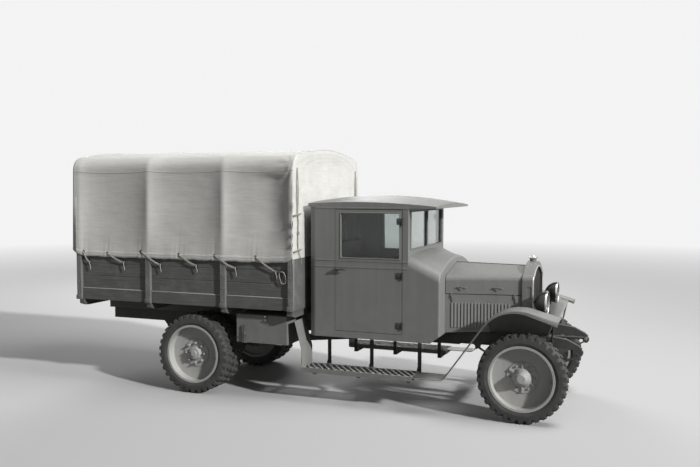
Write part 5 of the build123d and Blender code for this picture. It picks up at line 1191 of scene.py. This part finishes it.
def makeCabInside():
    rims, faces, marks = bmesh.new(), bmesh.new(), bmesh.new()
    for y, size, swing in dash["dials"]:
        radius = dash["radius"] * size
        place = at(dash["x"], y, dash["z"]) @ turned(-90, "Y")
        spun(rims, [(radius - 0.005, -0.002), (radius - 0.004, 0.006), (radius, 0.010), (radius + 0.005, 0.008),
                    (radius + 0.006, -0.002)], place, 40)
        spun(faces, [(0.0, 0.0035), (radius - 0.003, 0.0035), (radius - 0.003, -0.001)], place, 40)
        for tick in range(11):
            block(marks, (0.0015, 0.0065, 0.0010),
                  place @ turned(130 - 26 * tick, "Z") @ at(0, radius - 0.010, 0.0040))
        block(marks, (0.0022, radius * 0.72, 0.0012), place @ turned(-swing, "Z") @ at(0, radius * 0.22, 0.0050))
        spun(marks, [(0.0, 0.0075), (0.004, 0.0068), (0.005, 0.0045)], place, 16)
    newPiece("dialRims", rims, "nickel")
    newPiece("dialFaces", faces, "dial")
    newPiece("dialMarks", marks, "blackRim")
    bm = bmesh.new()
    for x, y in dash["pedals"]:
        plate = at(x - 0.006, y, dash["pedalZ"]) @ turned(dash["pedalLean"], "Y")
        rod(bm, (x + 0.070, y, 0.830), (x, y, 0.985), 0.008)
        block(bm, (0.014, 0.062, 0.082), plate, 0.004)
        for ridge in range(5):
            block(bm, (0.004, 0.054, 0.006), plate @ at(-0.0085, 0, -0.028 + ridge * 0.014), 0.001)
    newPiece("pedals", bm, "chassisPaint")
    bm = bmesh.new()
    for spot in dash["knobs"]:
        spun(bm, [(0.0, 0.0255), (0.012, 0.0225), (0.0225, 0.012), (0.0256, 0.0), (0.0225, -0.012), (0.014, -0.0225),
                  (0.0115, -0.034), (0.0, -0.036)], at(*spot), 24)
    newPiece("leverKnobs", bm, "blackRim")
    print("cab inside made")


# running boards: slats that run askew from the outer edge to the inner one, cut off at the frame's ends

boards = {"pitch": 0.068, "count": 20, "turn": 35, "topZ": 0.3732, "x": (0.004, 1.186), "y": (0.560, 0.826),
          "edge": 0.012, "shortest": 0.03}


def makeBoardTreads():
    bm = bmesh.new()
    (lowX, highX), (lowY, highY), topZ = boards["x"], boards["y"], boards["topZ"]
    midX, midY = (lowX + highX) / 2, (lowY + highY) / 2
    sine, cosine = math.sin(math.radians(boards["turn"])), math.cos(math.radians(boards["turn"]))
    reach = (highY - midY - 0.010) / cosine
    for _, side in sides:
        for number in range(boards["count"]):
            x = midX + (number - (boards["count"] - 1) / 2) * boards["pitch"]
            start = max(-reach, (x - highX + boards["edge"]) / sine)
            end = min(reach, (x - lowX - boards["edge"]) / sine)
            if end - start < boards["shortest"]:
                continue
            ends = [Vector((x - t * sine, side * (midY - t * cosine), topZ)) for t in (start, end)]
            run = ends[1] - ends[0]
            block(bm, (run.length, 0.0125, 0.0022),
                  at(*(ends[0] + ends[1]) / 2) @ turned(math.degrees(math.atan2(run.y, run.x)), "Z"), 0.0007)
        block(bm, (highX - lowX, 0.0075, 0.0022), at(midX, side * (highY - 0.004), topZ), 0.0007)
    # the treads get the lighter worn paint, which is partly a painted highlight on their lit tops
    newPiece("boardTreads", bm, "wornPaint")


# fenders: outline seen from the side, its lips and the valances as heights over x; edge is its section outwards

fender = {"inner": 0.590, "half": 0.826, "sheet": 0.004, "rail": 0.4005, "railTop": 0.790, "bead": 0.0048,
          "path": ((1.186, 0.373), (1.485, 0.373), (2.041, 1.152), (2.582, 1.003)), "fillets": (0.060, 0.420),
          "lips": ((1.150, 0.015), (1.950, 0.017), (2.150, 0.030), (2.590, 0.058)),
          "edge": ((0.590, 0.0), (0.640, 0.0), (0.700, 0.0006), (0.760, 0.0012), (0.795, 0.0022), (0.811, 0.0035),
                   (0.819, 0.0060), (0.824, 0.0095)),
          "valance": ((1.880, 0.925), (1.960, 1.000), (2.060, 1.060), (2.180, 1.080), (2.330, 1.066), (2.540, 1.010))}


def between(table, x):
    for (lowX, low), (highX, high) in zip(table, table[1:]):
        if x <= highX:
            return low + (high - low) * max(0.0, x - lowX) / (highX - lowX)
    return table[-1][1]


def swung(way, angle):
    way = way.copy()
    way.rotate(Matrix.Rotation(angle, 2))
    return way


def fenderLine(inset=0.0):
    # the outline with its corners rounded, moved inwards by inset
    points = [Vector(p) for p in fender["path"]]
    ways = [(after - before).normalized() for before, after in zip(points, points[1:])]
    line = [(points[0], ways[0])]
    for number, radius in enumerate(fender["fillets"], 1):
        bend = ways[number - 1].angle_signed(ways[number])
        steps = 14 if radius > 0.1 else 6
        spot = points[number] - ways[number - 1] * radius * abs(math.tan(bend / 2))
        for step in range(steps + 1):
            if step:
                middle = swung(ways[number - 1], -bend * (step - 0.5) / steps)
                spot = spot + middle * (2 * radius * math.sin(abs(bend) / steps / 2))
            line.append((spot, swung(ways[number - 1], -bend * step / steps)))
    line.append((points[-1], ways[-1]))
    return [(p.x + w.y * inset, p.y - w.x * inset) for p, w in line]


def makeFenders():
    sheets, edges, bolts = bmesh.new(), [], bmesh.new()
    line, half, last = fenderLine(), fender["half"], len(fenderLine()) - 1
    lips = [between(fender["lips"], x) for x, z in line]
    for _, side in sides:
        def spot(u, v):
            column, row = round((u + 1) / 2 * last), round((v + 1) / 2 * 10)
            lip = lips[column]
            rows = (*fender["edge"], (half, 0.0140), (half, (0.014 + lip) / 2), (half, lip))
            x, z = fenderLine(rows[row][1])[column]
            return x, side * rows[row][0], z
        part = gridOf(last, 10, spot)
        bmesh.ops.recalc_face_normals(part, faces=part.faces)
        if max(part.faces, key=lambda face: face.calc_center_median().z).normal.z < 0:
            bmesh.ops.reverse_faces(part, faces=part.faces)
        drop(sheets, part)
        edge = [fenderLine(lip - 0.002)[column] for column, lip in enumerate(lips)]
        edges.append([(x, side * (half - 0.0030), z) for x, z in edge])
        for x, z in line[8:20:3]:
            rivet(bolts, (x, side * 0.640, z), (0.1, 0, 1), 0.008)
    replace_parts(thinPiece("fenderSheets", sheets, "bodyPaint", fender["sheet"], -1), "fenders")
    tube("fenderEdges", edges, fender["bead"], "bodyPaint", resolution=2)
    newPiece("fenderBolts", bolts, "bodyPaint")
    makeValances()


def makeValances():
    # from the fender's inner edge down to the frame, and the stay in front of it
    valances, stays = bmesh.new(), bmesh.new()
    inner, railTop = fender["inner"], fender["railTop"]
    for _, side in sides:
        def spot(u, v):
            along, up = (u + 1) / 2, (v + 1) / 2
            x = 1.880 + (0.560 + 0.092 * up) * along
            foot = max(fender["rail"], bonnetSideY(x) + 0.001)
            z = railTop + 0.004 + (between(fender["valance"], x) - railTop - 0.006) * up
            return x, side * (foot + (inner - foot) * up), z - 0.012 * math.sin(math.pi * up)
        part = gridOf(30, 6, spot)
        bmesh.ops.recalc_face_normals(part, faces=part.faces)
        drop(valances, part)
        rod(stays, (2.470, side * 0.402, 0.730), (2.516, side * 0.604, 1.010), 0.0088)
        rod(stays, (2.470, side * 0.4005, 0.730), (2.470, side * 0.4085, 0.730), 0.020, segments=24)
        nut(stays, (2.470, side * 0.408, 0.730), (0, side, 0), 0.018, 0.008, 0.005)
    thinPiece("fenderValances", valances, "bodyPaint", fender["sheet"], 0)
    newPiece("fenderStays", stays, "chassisPaint")
    print("fenders made")


# chassis: rivets on the rails, spring bolts, exhaust clamps; a spring has a place, a height and its leaves

chassis = {"railY": 0.400, "rivetX": (-2.60, -2.20, -1.82, -0.70, -0.10, 0.30, 0.75, 1.42, 1.90, 2.30, 2.42),
           "springY": 0.370, "springs": ((2.238, 0.430, 6), (-1.262, 0.494, 8)), "boltRadius": 0.0060,
           "pipe": (0.300, 0.600), "clamps": ((-0.098, 0.0760, 0.012, 40), (0.548, 0.0760, 0.012, 40),
                                              (-0.30, 0.0245, 0.010, 32))}


def makeChassisTrim():
    rivets, springs, clamps = bmesh.new(), bmesh.new(), bmesh.new()
    for _, side in sides:
        for x in chassis["rivetX"]:
            for z in (0.706, 0.774):
                for shift in (-0.022, 0.022):
                    rivet(rivets, (x + shift, side * chassis["railY"], z), (0, side, 0), 0.0085)
    newPiece("railRivets", rivets, "chassisPaint")
    for x, baseZ, leaves in chassis["springs"]:
        topZ = baseZ + leaves * 0.009 + 0.012
        for _, side in sides:
            for boltX in (x - 0.048, x + 0.048):
                ends = [side * chassis["springY"] + across for across in (-0.033, 0.033)]
                for y in ends:
                    rod(springs, (boltX, y, baseZ - 0.020), (boltX, y, topZ), chassis["boltRadius"], segments=12)
                rod(springs, (boltX, ends[0], topZ), (boltX, ends[1], topZ), chassis["boltRadius"], segments=12)
    newPiece("springBolts", springs, "chassisPaint")
    for x, radius, half, steps in chassis["clamps"]:
        spun(clamps, [(radius, -half), (radius + 0.003, -half), (radius + 0.003, half), (radius, half)],
             at(x, *chassis["pipe"]) @ turned(90, "Y"), steps, closed=True)
    newPiece("exhaustClamps", clamps, "exhaustRust")
    print("chassis trim made")


# tool box lid: handle, knob, edge rivets

lid = {"handleX": -0.659, "handleZ": (0.600, 0.780), "barZ": 0.662, "y": -0.8262, "out": 0.0185,
       "rivets": (-0.738, 12, 0.0505), "rivetZ": (0.872, 0.606), "knob": (-0.406, -0.842, 0.878)}


def makeLidTrim():
    bm, x, y = bmesh.new(), lid["handleX"], lid["y"] - lid["out"]
    rod(bm, (x, y, lid["handleZ"][0]), (x, y, lid["handleZ"][1]), 0.0075)
    rod(bm, (x - 0.030, y, lid["barZ"]), (x + 0.030, y, lid["barZ"]), 0.0062)
    start, count, pitch = lid["rivets"]
    for number in range(count):
        for z in lid["rivetZ"]:
            rivet(bm, (start + number * pitch, lid["y"], z), (0, -1, 0), 0.0045)
    newPiece("lidHandle", bm, "lampPaint", "toolbox_lid")
    bm, (x, y, z) = bmesh.new(), lid["knob"]
    ball(bm, (x, y, z), 0.011, 20, 12)
    rod(bm, (x, -0.826, z), (x, y - 0.002, z), 0.005)
    newPiece("lidKnob", bm, "nickel", "toolbox_lid")
    print("lid trim made")


for make in (makeCamera, makeHank, makeStudio, dressCad, makeTyres, makeCanopy, makeRigging, makeLacing,
             makeWheelTrim, makeRadiatorTrim, makeLamps, makeBonnetTrim, makeRadiatorBead, makeBedTrim,
             makeBackMouldings, makeDoorTrim, makeScreenTrim, makeCabInside, makeBoardTreads, makeFenders,
             makeChassisTrim, makeLidTrim, makeCushions):
    make()
